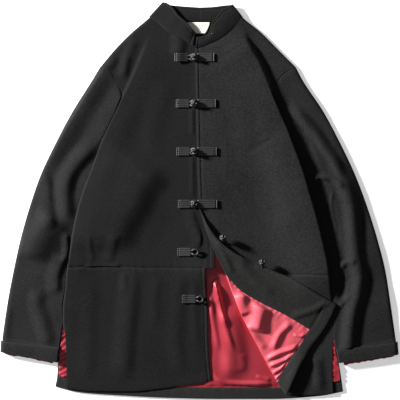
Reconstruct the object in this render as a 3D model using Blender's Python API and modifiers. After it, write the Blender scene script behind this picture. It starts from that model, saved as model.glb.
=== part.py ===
"""A tang jacket laid flat: standing collar, six rows of knotted frogs, one front corner turned back.

Plan: +X towards the wearer's left sleeve, +Y towards the collar, +Z up from the surface.
Outline tables are in millimetres and hold plan points, x then y, unless a header says otherwise.
"""

import math

import bmesh
import bpy
import numpy as np
from mathutils import Vector
from mathutils.bvhtree import BVHTree

MM = 0.001

# Walls
CLOTH = 2.0
LINING = 1.0
FACING = 1.6
SEAM = 0.3  # between pieces that are sewn together along a straight edge
CURVED_SEAM = 0.7  # and along a curved one, where facets cut the corners
ARMHOLE_SEAM = 1.3
BESIDE = 1.5  # between a sleeve and the body's side, which only lie against each other

# Heights of the upper faces where the cloth lies plain
BACK_TOP = 2.0
LINING_TOP = 3.4
FRONT_TOP = 6.6
LAP_RISE = 2.7  # the left front over the right front and the underlap
LAP_FLAT_X = 32.0
LAP_DOWN_X = 110.0
LAP_FLAT_Y = -136.0
LAP_DOWN_Y = -220.0
FLAP_OVER = 2.6  # the turned-back cloth over the front that it lies on
SKIN_OVER = 0.6  # its lining, facing and hem over that cloth

# Rolled edges
ROLL_SHARE = 0.035  # of a panel's width
ROLL_STEPS = (0.35, 0.65, 0.85, 0.97, 1.0)
ROLL_FOOT = 2.9
HEAD_ROLL_SHARE = 0.02  # of a panel's length, at its shoulder seam
HEAD_ROLL_STEPS = (0.0, 0.03, 0.15, 0.35, 0.65)
CREASE_FOOT = 4.2
CREASE_INSET = 3.0

# Sleeve sections
EDGE_MIDDLE = 3.2
UNDER_RADIUS = 3.3
UPPER_RADIUS = 9.0
SLEEVE_TOP = 6.8
CUFF_LIFT = 2.5
CUFF_TOP = 12.2

# Frogs
TAB_ROWS = 4
TAB_HEIGHT = 17.0
TAB_WALL = 2.2
CORD_RADIUS = 1.5
KNOT_RADIUS = 5.4
KNOT_FLATTEN = 0.84
KNOT_SEGMENTS = 10
KNOT_RINGS = 6
LOOP_POINTS = 8
LOOP_RADIUS = 4.4  # of a fastened loop, whose knot sits in it
LOOP_SPREAD = 0.9  # of that radius, between a loop's roots
OPEN_RADIUS = 6.0  # of an undone loop
CORD_RISE = 0.9  # of a tab's cord rows over the grooves between them
LAID = 0.4  # from a piece to the one that it lies on

COLLAR_WALL = 2.6
COLLAR_ARCH = 0.9
LABEL_WALL = 0.6
HEM_DEPTH = 22.0
LINING_INSET = 4.5

# Rolled edges in use: share of the edge's length, then how far it is turned down there.
ARMHOLE_THEN_SIDE = [(0.0, 0.0), (0.17, 0.0), (0.23, 1.0), (1.0, 1.0)]
SIDE_THEN_SLIT = [(0.0, 1.0), (0.38, 1.0), (0.5, 0.0), (1.0, 0.0)]
NECK_THEN_SHOULDER = [(0.0, 0.0), (0.5, 0.0), (0.56, 1.0), (1.0, 1.0)]

# Outer edges of the body, from the neck to the hem. The fronts and the back share them.
SHOULDER_RIGHT = [(-100, 366), (-136, 336), (-168, 304), (-200, 266)]
ARMHOLE_RIGHT = [(-200, 266), (-188, 261), (-175, 250), (-164, 232), (-158, 208)]
SIDE_RIGHT = [
    (-158, 208), (-176, 166), (-198, 119), (-218, 64), (-240, 6),
    (-254, -50), (-262, -100), (-268, -136),
]
SHOULDER_LEFT = [(84, 366), (122, 336), (154, 304), (176, 282), (192, 266)]
ARMHOLE_LEFT = [(192, 266), (180, 262), (167, 254), (154, 238), (144, 214)]
SIDE_LEFT = [
    (144, 214), (166, 164), (186, 116), (204, 68), (224, 4),
    (244, -70), (256, -124), (260, -149),
]
SKIRT_RIGHT = [(-268, -136), (-272, -180), (-277, -215), (-276, -245)]
SKIRT_LEFT = [(260, -149), (263, -185), (268, -214), (270, -242), (268, -272)]
BACK_SLIT_RIGHT = [(-276, -245), (-279, -275), (-284, -310), (-286, -350), (-290, -374)]
BACK_SLIT_LEFT = [(268, -272), (273, -302), (280, -336), (287, -384)]
FRONT_SLIT_RIGHT = [(-276, -245), (-270, -270), (-268, -300), (-267, -340), (-266, -378)]
FRONT_SLIT_LEFT = [(268, -272), (264, -295), (263, -330), (266, -388)]

NECK_RIGHT = [(9, 302), (-12, 309), (-50, 328), (-84, 355), (-100, 366)]
NECK_LEFT = [(-10, 303), (30, 316), (62, 338), (84, 366)]
CENTRE_RIGHT = [(9, 302), (9, 150), (9, 0), (9, -136)]
CENTRE_LEFT = [(-10, 303), (-8, 200), (-5, 60), (-2, -18)]
WAIST_RIGHT = [(9, -136), (-100, -136), (-200, -132), (-268, -136)]
WAIST_LEFT = [(54, -149), (160, -149), (260, -149)]

CREASE_UPPER = [(-2, -18), (16, -72), (40, -126), (52, -149)]
CREASE_LOWER = [(52, -149), (80, -224), (118, -298), (154, -364), (172, -391)]
FLAP_FRONT = [
    (0, -18), (16, -52), (40, -83), (80, -112), (130, -133), (184, -158), (240, -190), (268, -205),
]
FLAP_HEM_SHORT = [(268, -205), (265, -232), (256, -254), (240, -272)]
FLAP_HEM_LONG = [(240, -272), (220, -295), (196, -338), (172, -391)]
FACING_EDGE = [(52, -150), (80, -179), (124, -206), (170, -229), (219, -259)]
FACING_END = [(219, -259), (240, -272)]
FLAP_HEM_FOLD = [(219, -259), (206, -280), (178, -321), (154, -364)]

EDGE_RIGHT_LOWER = [(10, -136), (12, -180), (15, -220), (16, -280), (18, -320), (22, -360)]
HEM_RIGHT = [(22, -360), (0, -368), (-36, -372), (-82, -378), (-140, -383), (-208, -383), (-266, -378)]
HEM_LEFT = [(172, -391), (220, -391), (266, -388)]
HEM_BACK = [
    (-290, -374), (-240, -386), (-160, -392), (-60, -397), (40, -399), (140, -399), (240, -393), (287, -384),
]
NECK_BACK = [(-100, 366), (-50, 361), (40, 361), (84, 366)]
LINING_SIDE_RIGHT = [(-258, -74), (-262, -100), (-272, -180), (-276, -245)]
LINING_SIDE_LEFT = [(244, -72), (256, -124), (263, -185), (268, -272)]
LINING_FOLDS_END = -372
FOLDS_END_RIGHT = -14

# Folds: height, width to the left of the way it runs, width to its right, then points along it.
FOLDS_RIGHT = [
    (5.0, 8, 30, [(-98, 336), (-120, 290), (-148, 232), (-166, 180), (-190, 125), (-214, 60)]),
    (4.0, 8, 26, [(-200, 110), (-222, 40), (-240, -20), (-254, -80), (-262, -128)]),
    (4.5, 34, 30, [(-88, 66), (-130, 26), (-164, -24), (-186, -90)]),
    (3.0, 26, 20, [(-70, 240), (-96, 140), (-104, 60)]),
    (3.0, 12, 12, [(-190, -66), (-196, -122)]),
    (2.5, 12, 12, [(-226, -70), (-214, -126)]),
    (2.2, 16, 16, [(-24, -10), (-12, -46), (-20, -96)]),
]
FOLDS_RIGHT_LOWER = [
    (3.6, 26, 26, [(-140, -150), (-144, -240), (-150, -370)]),
    (3.0, 24, 24, [(-44, -150), (-46, -240), (-40, -360)]),
    (3.2, 22, 22, [(-226, -142), (-232, -240), (-236, -370)]),
]
FOLDS_LEFT = [
    (5.5, 34, 8, [(92, 326), (118, 270), (142, 216), (164, 166), (188, 108), (206, 58)]),
    (5.0, 30, 8, [(196, 90), (216, 30), (236, -40), (250, -100), (258, -140)]),
    (3.2, 26, 26, [(60, 250), (86, 150), (92, 40)]),
    (2.6, 22, 22, [(150, 120), (168, 20), (180, -70)]),
]
FOLDS_LEFT_LOWER = [
    (2.6, 18, 18, [(232, -300), (236, -340), (240, -386)]),
]
FOLDS_BACK_LINING = [
    (7.0, 16, 12, [(22, -150), (34, -220), (48, -300), (52, -368)]),
    (4.0, 14, 14, [(60, -260), (76, -320), (92, -366)]),
    (3.0, 12, 12, [(110, -340), (134, -370)]),
]
FOLDS_FLAP_LINING = [
    (4.0, 18, 18, [(78, -186), (112, -216), (150, -250)]),
    (3.6, 20, 20, [(178, -244), (150, -300), (136, -330)]),
    (3.0, 14, 14, [(92, -240), (118, -270), (150, -290)]),
]
FOLDS_SLEEVE_RIGHT = [
    (7.0, 20, 22, [(-156, 270), (-172, 222), (-202, 166), (-240, 100), (-284, 40), (-286, -10), (-274, -46)]),
    (5.0, 24, 20, [(-206, 240), (-240, 180), (-276, 120), (-304, 60), (-326, 0)]),
    (5.0, 26, 26, [(-276, -56), (-318, -70), (-350, -64)]),
    (5.0, 20, 20, [(-296, -130), (-330, -160), (-374, -168)]),
    (4.0, 20, 16, [(-352, -200), (-346, -250), (-340, -280)]),
]
FOLDS_SLEEVE_LEFT = [
    (6.5, 20, 22, [(178, 196), (210, 156), (240, 120), (270, 70), (284, 30)]),
    (5.0, 22, 22, [(232, 190), (266, 130), (300, 70), (326, 10)]),
    (5.0, 20, 20, [(232, 40), (260, 42), (288, 30)]),
    (5.0, 20, 20, [(292, -130), (314, -126), (332, -116)]),
    (4.0, 20, 20, [(330, -10), (340, -90), (348, -170), (342, -260)]),
    (4.0, 16, 16, [(282, -60), (292, -140), (296, -200), (292, -270)]),
]

# Sleeves: from beside the body's skirt to the cuff, and along the outer edge.
SLEEVE_RIGHT_TAIL = [(-277.5, -245), (-280, -268), (-285, -290)]
SLEEVE_LEFT_TAIL = [(269.5, -272), (277, -282), (286, -292)]
SLEEVE_RIGHT_OUTER = [
    (-201, 265), (-216, 240), (-256, 176), (-290, 112), (-320, 48), (-342, -16),
    (-360, -80), (-374, -144), (-386, -208), (-396, -276),
]
SLEEVE_LEFT_OUTER = [
    (193, 265), (206, 240), (248, 176), (282, 112), (312, 48), (336, -16),
    (356, -80), (372, -144), (382, -208), (392, -278),
]
ARMHOLE_FADE = 0.25  # the share of a sleeve over which its sections straighten
# Cuffs: inner end and outer end of the upper rim, then of the lower rim.
CUFF_RIGHT = [(-288, -296), (-399, -282), (-286, -325), (-400, -304)]
CUFF_LEFT = [(288, -298), (396, -284), (290, -324), (398, -309)]
SLEEVE_INSET = 3.6  # of a sleeve inside its cuff
LINING_PEEP = 3.6
SLEEVE_ROWS = 22

# Collar halves, from the centre back round the side to the centre front:
# seam x, y, z, then top edge x, y, z.
COLLAR_RIGHT = [
    (-0.3, 358, 3.8, -0.3, 385, 4.8), (-30, 358, 3.8, -30, 387, 4.8), (-62, 360, 3.8, -60, 390, 4.8),
    (-92, 364, 4.4, -70, 393, 5.2), (-101, 366, 6.8, -74, 395, 8.4), (-98, 364, 8.6, -68, 394, 12.0),
    (-84, 354, 8.8, -56, 386, 14.0), (-66, 338, 8.8, -44, 370, 15.0), (-50, 328, 8.8, -28, 356, 15.0),
    (-34, 318, 8.8, -16, 342, 14.0), (-14, 309, 8.8, -9, 334, 13.0),
]
COLLAR_LEFT = [
    (0.3, 358, 3.8, 0.3, 385, 4.8), (28, 358, 3.8, 24, 386, 4.8), (56, 361, 3.8, 48, 389, 4.8),
    (78, 364, 4.4, 60, 390, 5.2), (86, 364, 6.8, 65, 391, 8.4), (84, 361, 9.4, 60, 388, 12.0),
    (74, 350, 9.8, 46, 380, 14.0), (62, 338, 10.4, 32, 364, 15.0), (50, 327, 11.2, 23, 352, 15.6),
    (30, 316, 11.8, 22, 338, 16.0), (10, 308, 12.0, 14, 328, 16.0), (-9, 303, 12.0, -7, 325, 15.4),
]

# Frogs: y of the row, x where the loop's tab starts and ends, x where the knot's tab starts and ends.
FROGS = [
    (285, -51, -24, -5, 29),
    (193, -48, -21, -5, 32),
    (97, -47, -20, -5, 34),
    (-8, -44, -19, -5, 35),
]
KNOT_X = -11.5
# Undone loops: y of the row, x where the tab starts and ends, rise of the loop.
OPEN_LOOPS = [
    (-104, -45, -18, 4.0),
    (-198, -36, -8, 2.0),
]
# Knots that peep out beside the turned-back edge: x, y.
OPEN_KNOTS = [(43, -70), (123, -120)]

COLOURS = {
    "wool": (0.020, 0.020, 0.023),
    "satin": (0.36, 0.012, 0.028),
    "label": (0.78, 0.74, 0.62),
    "cord": (0.012, 0.012, 0.014),
}
ROUGHNESS = {"wool": 0.92, "satin": 0.32, "label": 0.7, "cord": 0.38}


def material(name, finish):
    """A Principled material with one of the garment's four finishes."""
    made = bpy.data.materials.new(name)
    made.use_nodes = True
    shader = made.node_tree.nodes["Principled BSDF"]
    shader.inputs["Base Color"].default_value = (*COLOURS[finish], 1.0)
    shader.inputs["Roughness"].default_value = ROUGHNESS[finish]
    shader.inputs["Metallic"].default_value = 0.0
    return made


def sampled(points, at):
    """Points of a smooth line through the given ones, at shares of its length from 0 to 1."""
    points = np.array(points, float)
    at = np.asarray(at, float)
    chord = np.linalg.norm(np.diff(points, axis=0), axis=1)
    place = np.concatenate([[0.0], np.cumsum(chord)])
    slope = np.diff(points, axis=0) / chord[:, None]
    tangent = np.empty_like(points)
    tangent[0], tangent[-1] = slope[0], slope[-1]
    same_way = slope[1:] * slope[:-1] > 0
    total = np.where(same_way, slope[1:] + slope[:-1], 1.0)
    tangent[1:-1] = np.where(same_way, 2 * slope[1:] * slope[:-1] / total, 0.0)
    here = at * place[-1]
    i = np.clip(np.searchsorted(place, here, side="right") - 1, 0, len(chord) - 1)
    span = chord[i][:, None]
    t = ((here - place[i]) / chord[i])[:, None]
    return (
        (1 + 2 * t) * (1 - t) ** 2 * points[i]
        + t * (1 - t) ** 2 * span * tangent[i]
        + t**2 * (3 - 2 * t) * points[i + 1]
        + t**2 * (t - 1) * span * tangent[i + 1]
    )


def edge(*runs):
    """An edge made of runs of points: takes shares from 0 to 1 and gives plan points.

    Each run is a pair, the share of the edge at which it ends and its points, so a corner
    between two runs is always met by a row or column that lies at that share.
    """

    def points_at(shares):
        shares = np.asarray(shares, float)
        found = np.zeros((len(shares), 2))
        start = 0.0
        for end, points in runs:
            inside = (shares >= start) & (shares <= end)
            found[inside] = sampled(points, (shares[inside] - start) / (end - start))
            start = end
        return found

    return points_at


def patch(start, end, head, foot, u, v):
    """The plan of a four-sided panel. u runs from start to end, v from head to foot."""
    s, e, h, f = start(v), end(v), head(u), foot(u)
    u, v = np.asarray(u)[None, :, None], np.asarray(v)[:, None, None]
    across = (1 - u) * s[:, None] + u * e[:, None]
    along = (1 - v) * h[None] + v * f[None]
    corners = (
        (1 - u) * (1 - v) * h[0] + u * (1 - v) * h[-1] + (1 - u) * v * f[0] + u * v * f[-1]
    )
    return across + along - corners


def smooth_step(t):
    t = np.clip(t, 0.0, 1.0)
    return t * t * (3 - 2 * t)


def folds_at(x, y, folds):
    """The summed height of the folds at plan points."""
    total = np.zeros_like(x)
    for height, left, right, points in folds:
        line = sampled(points, np.linspace(0, 1, 25))
        best = np.full(x.shape, 1e9)
        side = np.zeros_like(x)
        share = np.zeros_like(x)
        for k in range(len(line) - 1):
            a, way = line[k], line[k + 1] - line[k]
            t = np.clip(((x - a[0]) * way[0] + (y - a[1]) * way[1]) / (way @ way), 0, 1)
            dx, dy = x - a[0] - t * way[0], y - a[1] - t * way[1]
            away = np.hypot(dx, dy)
            nearer = away < best
            best = np.where(nearer, away, best)
            side = np.where(nearer, way[0] * dy - way[1] * dx, side)
            share = np.where(nearer, (k + t) / (len(line) - 1), share)
        width = np.where(side > 0, left, right)
        taper = smooth_step(share / 0.2) * smooth_step((1 - share) / 0.2)
        total += height * taper * (0.5 + 0.5 * np.cos(np.pi * np.clip(best / width, 0, 1)))
    return total


def lap_base(x, y):
    """The upper face of the left front where it lies plain, raised where it laps the right one."""
    across = np.clip((LAP_DOWN_X - x) / (LAP_DOWN_X - LAP_FLAT_X), 0, 1)
    along = np.clip((y - LAP_DOWN_Y) / (LAP_FLAT_Y - LAP_DOWN_Y), 0, 1)
    return FRONT_TOP + LAP_RISE * across * along


def clear_of(x, y, line, reach):
    """1 away from a line, falling to 0 on it, so that folds die out before another layer."""
    points = sampled(line, np.linspace(0, 1, 40))
    away = np.min([np.hypot(x - px, y - py) for px, py in points], axis=0)
    return smooth_step(away / reach)


def grid_object(name, place, wall, finish, tube=False, offset=-1.0):
    """A shell over a grid of places, (rows, columns, 3) in millimetres, walled by Solidify."""
    rows, columns = place.shape[:2]
    cage = bmesh.new()
    bmesh.ops.create_grid(cage, x_segments=columns - 1, y_segments=rows - 1, size=1.0)
    for vertex in cage.verts:
        column = round((vertex.co.x + 1) / 2 * (columns - 1))
        row = round((1 - vertex.co.y) / 2 * (rows - 1))
        vertex.co = Vector(place[row, column]) * MM
    if tube:
        bmesh.ops.remove_doubles(cage, verts=cage.verts, dist=0.00001)
    cage.normal_update()
    facing = cage.calc_volume(signed=True) if tube else sum(f.normal.z for f in cage.faces)
    if facing < 0:
        bmesh.ops.reverse_faces(cage, faces=cage.faces)
    mesh = bpy.data.meshes.new(name)
    cage.to_mesh(mesh)
    cage.free()
    made = bpy.data.objects.new(name, mesh)
    garment.objects.link(made)
    thicken = made.modifiers.new("Wall", "SOLIDIFY")
    thicken.thickness = wall * MM
    thicken.offset = offset
    mesh.materials.append(material(name, finish))
    mesh.shade_smooth()
    return made


def shares(count):
    return np.linspace(0, 1, count + 1)


def side_shares(count):
    """Even shares across a panel, then the close ones of the rolled edge at its end."""
    even = np.linspace(0, 1 - ROLL_SHARE, count + 1)
    return np.concatenate([even, 1 - ROLL_SHARE * (1 - np.array(ROLL_STEPS))])


def head_shares(count):
    """The close shares of a rolled edge at a panel's head, then even ones down it."""
    even = np.linspace(HEAD_ROLL_SHARE, 1, count + 1)
    return np.concatenate([HEAD_ROLL_SHARE * np.array(HEAD_ROLL_STEPS), even])


def turned_down(z, closeness, weight, foot):
    """Heights turned down round an edge. closeness runs from 0 inside to 1 on the edge."""
    k = np.clip(closeness, 0, 1)
    down = foot + (z - foot) * np.sqrt(1 - k**2)
    return z * (1 - weight) + down * weight


def side_rolled(z, u, v, weights, foot):
    """Heights with the end edge turned down by weights, a table of share of length and weight."""
    closeness = (np.asarray(u)[None, :] - 1 + ROLL_SHARE) / ROLL_SHARE
    return turned_down(z, closeness, np.interp(v, *zip(*weights))[:, None], foot)


def head_rolled(z, u, v, weights, foot):
    """Heights with the head edge turned down by weights, a table of share of width and weight."""
    closeness = 1 - np.asarray(v)[:, None] / HEAD_ROLL_SHARE
    return turned_down(z, closeness, np.interp(u, *zip(*weights))[None, :], foot)


def raised(plan, z):
    return np.dstack([plan[..., 0], plan[..., 1], z])


def inset_line(points, by):
    """A line moved sideways in plan, towards its left as it runs where by is positive."""
    points = sampled(points, np.linspace(0, 1, 4 * len(points)))
    way = np.gradient(points, axis=0)
    way /= np.linalg.norm(way, axis=1)[:, None]
    return points + by * np.column_stack([-way[:, 1], way[:, 0]])


def lowered(points, by):
    return np.array(points, float) - (0, by)


def back():
    """The back, flat on the surface."""
    side_right = edge((0.16, SHOULDER_RIGHT), (0.24, ARMHOLE_RIGHT), (0.66, SIDE_RIGHT),
                      (0.82, SKIRT_RIGHT), (1.0, BACK_SLIT_RIGHT))
    side_left = edge((0.16, SHOULDER_LEFT), (0.24, ARMHOLE_LEFT), (0.66, SIDE_LEFT),
                     (0.86, SKIRT_LEFT), (1.0, BACK_SLIT_LEFT))
    u, v = shares(6), shares(50)
    plan = patch(side_right, side_left, edge((1, NECK_BACK)), edge((1, HEM_BACK)), u, v)
    return grid_object("back", raised(plan, np.full(plan.shape[:2], BACK_TOP)), CLOTH, "wool")


def back_lining():
    """The back's lining, which shows in the opening and at both side slits."""
    foot = inset_line(HEM_BACK, HEM_DEPTH + CURVED_SEAM)
    start = edge((0.5, inset_line(LINING_SIDE_RIGHT, LINING_INSET)), (1.0, [
        *inset_line(BACK_SLIT_RIGHT[:3], LINING_INSET), foot[0] + (LINING_INSET, 0)]))
    end = edge((0.5, inset_line(LINING_SIDE_LEFT, -LINING_INSET)), (1.0, [
        *inset_line(BACK_SLIT_LEFT[:3], -LINING_INSET), foot[-1] - (LINING_INSET, 0)]))
    head = edge((1, [start([0])[0], end([0])[0]]))
    bottom = edge((1, [start([1])[0], *foot[3:-3], end([1])[0]]))
    u, v = shares(26), shares(13)
    plan = patch(start, end, head, bottom, u, v)
    x, y = plan[..., 0], plan[..., 1]
    open_part = clear_of(x, y, EDGE_RIGHT_LOWER, 16) * clear_of(x, y, CREASE_LOWER, 18)
    open_part = open_part * (x > 14) * (y > LINING_FOLDS_END)
    z = LINING_TOP + folds_at(x, y, FOLDS_BACK_LINING) * open_part
    return grid_object("back_lining", raised(plan, z), LINING, "satin")


def back_hem():
    """The back's hem, turned up inside."""
    lower, upper = inset_line(HEM_BACK, SEAM), inset_line(HEM_BACK, HEM_DEPTH)
    ends = [edge((1, [upper[k], lower[k]])) for k in (0, -1)]
    plan = patch(*ends, edge((1, upper)), edge((1, lower)), shares(18), shares(1))
    z = np.full(plan.shape[:2], BACK_TOP + SEAM + FACING)
    return grid_object("back_hem", raised(plan, z), FACING, "wool")


def front_right_upper():
    """The wearer's right front above the waist seam."""
    start = edge((1, CENTRE_RIGHT))
    end = edge((0.2, ARMHOLE_RIGHT), (1.0, SIDE_RIGHT))
    head = edge((0.5, NECK_RIGHT), (1.0, SHOULDER_RIGHT))
    u, v = side_shares(12), head_shares(18)
    plan = patch(start, end, head, edge((1, WAIST_RIGHT)), u, v)
    x, y = plan[..., 0], plan[..., 1]
    relief = folds_at(x, y, FOLDS_RIGHT) * smooth_step((FOLDS_END_RIGHT - x) / 20)
    z = side_rolled(FRONT_TOP + relief, u, v, ARMHOLE_THEN_SIDE, ROLL_FOOT)
    z = head_rolled(z, u, v, NECK_THEN_SHOULDER, ROLL_FOOT)
    return grid_object("front_right_upper", raised(plan, z), CLOTH, "wool")


def front_right_lower():
    """The wearer's right front below the waist seam, free of the back at the side slit."""
    start = edge((1, lowered(EDGE_RIGHT_LOWER, SEAM)))
    end = edge((0.42, lowered(SKIRT_RIGHT, SEAM)), (1.0, FRONT_SLIT_RIGHT))
    u, v = side_shares(12), shares(11)
    plan = patch(start, end, edge((1, lowered(WAIST_RIGHT, SEAM))), edge((1, HEM_RIGHT)), u, v)
    x, y = plan[..., 0], plan[..., 1]
    z = FRONT_TOP + folds_at(x, y, FOLDS_RIGHT_LOWER) * smooth_step((-2 - x) / 16)
    z = side_rolled(z, u, v, SIDE_THEN_SLIT, ROLL_FOOT)
    return grid_object("front_right_lower", raised(plan, z), CLOTH, "wool")


def underlap():
    """The strip sewn inside the right front's edge, under the frogs."""
    near, far, foot = 9 + SEAM, 29, -136
    corners = [edge((1, [(x, 300), (x, foot)])) for x in (near, far)]
    ends = [edge((1, [(near, y), (far, y)])) for y in (300, foot)]
    plan = patch(*corners, *ends, shares(2), shares(6))
    return grid_object("underlap", raised(plan, np.full(plan.shape[:2], FRONT_TOP)), CLOTH, "wool")


def front_left_upper():
    """The wearer's left front above the waist seam. It laps the right front as far as the crease."""
    under_crease = inset_line(CREASE_UPPER, CREASE_INSET)
    start = edge((0.7, CENTRE_LEFT), (1.0, [CREASE_UPPER[0], *under_crease[5:]]))
    end = edge((0.2, ARMHOLE_LEFT), (1.0, SIDE_LEFT))
    head = edge((0.5, NECK_LEFT), (1.0, SHOULDER_LEFT))
    foot = edge((1, [start([1])[0], *WAIST_LEFT[1:]]))
    u, v = side_shares(12), head_shares(18)
    plan = patch(start, end, head, foot, u, v)
    x, y = plan[..., 0], plan[..., 1]
    above_flap = y - np.interp(x, *zip(*FLAP_FRONT)) - 6
    relief = folds_at(x, y, FOLDS_LEFT) * smooth_step((x - 34) / 20) * smooth_step(above_flap / 24)
    z = side_rolled(lap_base(x, y) + relief, u, v, ARMHOLE_THEN_SIDE, ROLL_FOOT)
    z = head_rolled(z, u, v, NECK_THEN_SHOULDER, ROLL_FOOT)
    return grid_object("front_left_upper", raised(plan, z), CLOTH, "wool")


def front_left_lower():
    """The wearer's left front below the waist seam, mostly under the turned-back corner."""
    start = edge((1, lowered(inset_line(CREASE_LOWER, CREASE_INSET), SEAM)))
    end = edge((0.5, lowered(SKIRT_LEFT, SEAM)), (1.0, FRONT_SLIT_LEFT))
    head = edge((1, [start([0])[0], *lowered(WAIST_LEFT[1:], SEAM)]))
    foot = edge((1, [start([1])[0], *HEM_LEFT[1:]]))
    u, v = side_shares(8), shares(11)
    plan = patch(start, end, head, foot, u, v)
    x, y = plan[..., 0], plan[..., 1]
    z = lap_base(x, y) + folds_at(x, y, FOLDS_LEFT_LOWER)
    z = side_rolled(z, u, v, SIDE_THEN_SLIT, ROLL_FOOT)
    return grid_object("front_left_lower", raised(plan, z), CLOTH, "wool")


def over_front(plan, over, wall=0.0):
    """Heights over the left front where it lies plain."""
    return lap_base(plan[..., 0], plan[..., 1]) + over + wall


def flap_cloth():
    """The front corner, turned back over the front with its outer side down."""
    crease = np.vstack([inset_line(CREASE_UPPER, CREASE_INSET)[6:],
                        inset_line(CREASE_LOWER, CREASE_INSET)[1:]])
    start, end = edge((1, crease)), edge((1, FLAP_FRONT[1:]))
    head = edge((1, [start([0])[0], end([0])[0]]))
    foot = edge((0.7, [start([1])[0], *FLAP_HEM_LONG[2::-1]]), (1.0, FLAP_HEM_SHORT[::-1]))
    plan = patch(start, end, head, foot, shares(10), shares(16))
    return grid_object("flap_cloth", raised(plan, over_front(plan, FLAP_OVER)), CLOTH, "wool")


def flap_facing():
    """The facing along the turned-back front edge, down round the crease at its start."""
    start = edge((1, FLAP_FRONT[1:]))
    end = edge((0.3, CREASE_UPPER[1:]), (0.92, FACING_EDGE), (1.0, FACING_END))
    head = edge((1, [FLAP_FRONT[1], CREASE_UPPER[1]]))
    foot = edge((1, FLAP_HEM_SHORT))
    u, v = side_shares(5), shares(25)
    plan = patch(start, end, head, foot, u, v)
    z = over_front(plan, FLAP_OVER + SKIN_OVER, FACING)
    z = side_rolled(z, u, v, [(0.0, 1.0), (0.26, 1.0), (0.32, 0.0)], CREASE_FOOT + LAP_RISE)
    return grid_object("flap_facing", raised(plan, z), FACING, "wool")


def flap_lining():
    """The lining of the turned-back corner, down round the crease."""
    sewn = lowered(FACING_EDGE, CURVED_SEAM)
    start = edge((1, FLAP_HEM_FOLD))
    end = edge((1, [sewn[0], *CREASE_LOWER[1:3], (153, -363)]))
    head = edge((1, [FLAP_HEM_FOLD[0], *sewn[-2::-1]]))
    foot = edge((1, [FLAP_HEM_FOLD[-1], end([1])[0]]))
    u, v = side_shares(12), shares(14)
    plan = patch(start, end, head, foot, u, v)
    x, y = plan[..., 0], plan[..., 1]
    z = over_front(plan, FLAP_OVER + SKIN_OVER, LINING) + folds_at(x, y, FOLDS_FLAP_LINING)
    z = side_rolled(z, u, v, [(0.0, 1.0), (0.9, 1.0), (1.0, 0.4)], CREASE_FOOT)
    return grid_object("flap_lining", raised(plan, z), LINING, "satin")


def flap_hem():
    """The hem of the turned-back corner."""
    start = edge((1, np.array(FLAP_HEM_FOLD) + (SEAM, -SEAM)))
    end = edge((1, lowered(FLAP_HEM_LONG, SEAM)))
    head = edge((1, [start([0])[0], end([0])[0]]))
    foot = edge((1, [start([1])[0], end([1])[0]]))
    plan = patch(start, end, head, foot, shares(3), shares(10))
    z = over_front(plan, FLAP_OVER + SKIN_OVER, CLOTH)
    return grid_object("flap_hem", raised(plan, z), CLOTH, "wool")


def ring_shares(width):
    """Shares across a flattened tube for its upper run, then for its lower run back."""
    near = np.array([0.0, 0.7, 2.6, 5.6, UPPER_RADIUS]) / width
    upper = np.concatenate([near, np.linspace(near[-1], 1 - near[-1], 9)[1:-1], 1 - near[::-1]])
    low = np.array([1.0, UNDER_RADIUS]) / width
    lower = np.concatenate([1 - low, [0.66, 0.33], low[::-1]])
    return upper, lower


def turned(near, radius):
    """The share of its height that a rounded edge has at a distance in from it."""
    return np.sqrt(1 - (1 - np.clip(near / radius, 0, 1)) ** 2)


def ring(a, b, top, folds=(), lift=0.0, bow=None):
    """A section of a flattened tube from plan point a to b, flat below, with a top height.

    bow takes shares from a to b and gives plan moves, for a section that isn't straight.
    """
    width = np.linalg.norm(np.subtract(b, a))
    runs = []
    for share, is_upper in zip(ring_shares(width), (True, False)):
        at = a + np.outer(share, np.subtract(b, a))
        if bow:
            at = at + bow(share)
        near = np.minimum(share, 1 - share) * width
        if is_upper:
            rise = top + folds_at(at[:, 0], at[:, 1], folds) - EDGE_MIDDLE
            z = EDGE_MIDDLE + rise * turned(near, UPPER_RADIUS)
        else:
            z = EDGE_MIDDLE * (1 - turned(near, UNDER_RADIUS))
        runs.append(np.column_stack([at, z + lift]))
    points = np.vstack(runs)
    return np.vstack([points, points[:1]])


def cuff_line(cuff, share, inset):
    """The two ends of a section of a cuff, at a share of the way down it."""
    upper_a, upper_b, lower_a, lower_b = np.array(cuff, float)
    a, b = upper_a + (lower_a - upper_a) * share, upper_b + (lower_b - upper_b) * share
    inward = (b - a) / np.linalg.norm(b - a)
    return a + inward * inset, b - inward * inset


def sleeve(name, inner, outer, armhole, cuff, folds):
    """A sleeve pressed flat, from the armhole to a little way inside its turned-up cuff."""
    rows = np.linspace(0, 1, SLEEVE_ROWS)
    starts, ends = inner(rows), outer(rows)

    def bow_at(v):
        fade = max(0.0, 1 - v / ARMHOLE_FADE)
        straight = lambda share: starts[0] + np.outer(share, ends[0] - starts[0])
        return lambda share: (sampled(armhole, share) - straight(share)) * fade

    rings = [ring(a, b, SLEEVE_TOP, folds, bow=bow_at(v)) for v, a, b in zip(rows, starts, ends)]
    for share in (0.05, 0.8):
        rings.append(ring(*cuff_line(cuff, share, SLEEVE_INSET), SLEEVE_TOP, lift=CUFF_LIFT))
    return grid_object(name, np.array(rings), CLOTH, "wool", tube=True)


def turned_cuff(name, cuff):
    """The cuff, turned up round the end of its sleeve."""
    rings = [ring(*cuff_line(cuff, share, 0.0), CUFF_TOP) for share in (0.0, 0.5, 1.0)]
    return grid_object(name, np.array(rings), CLOTH, "wool", tube=True)


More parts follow.
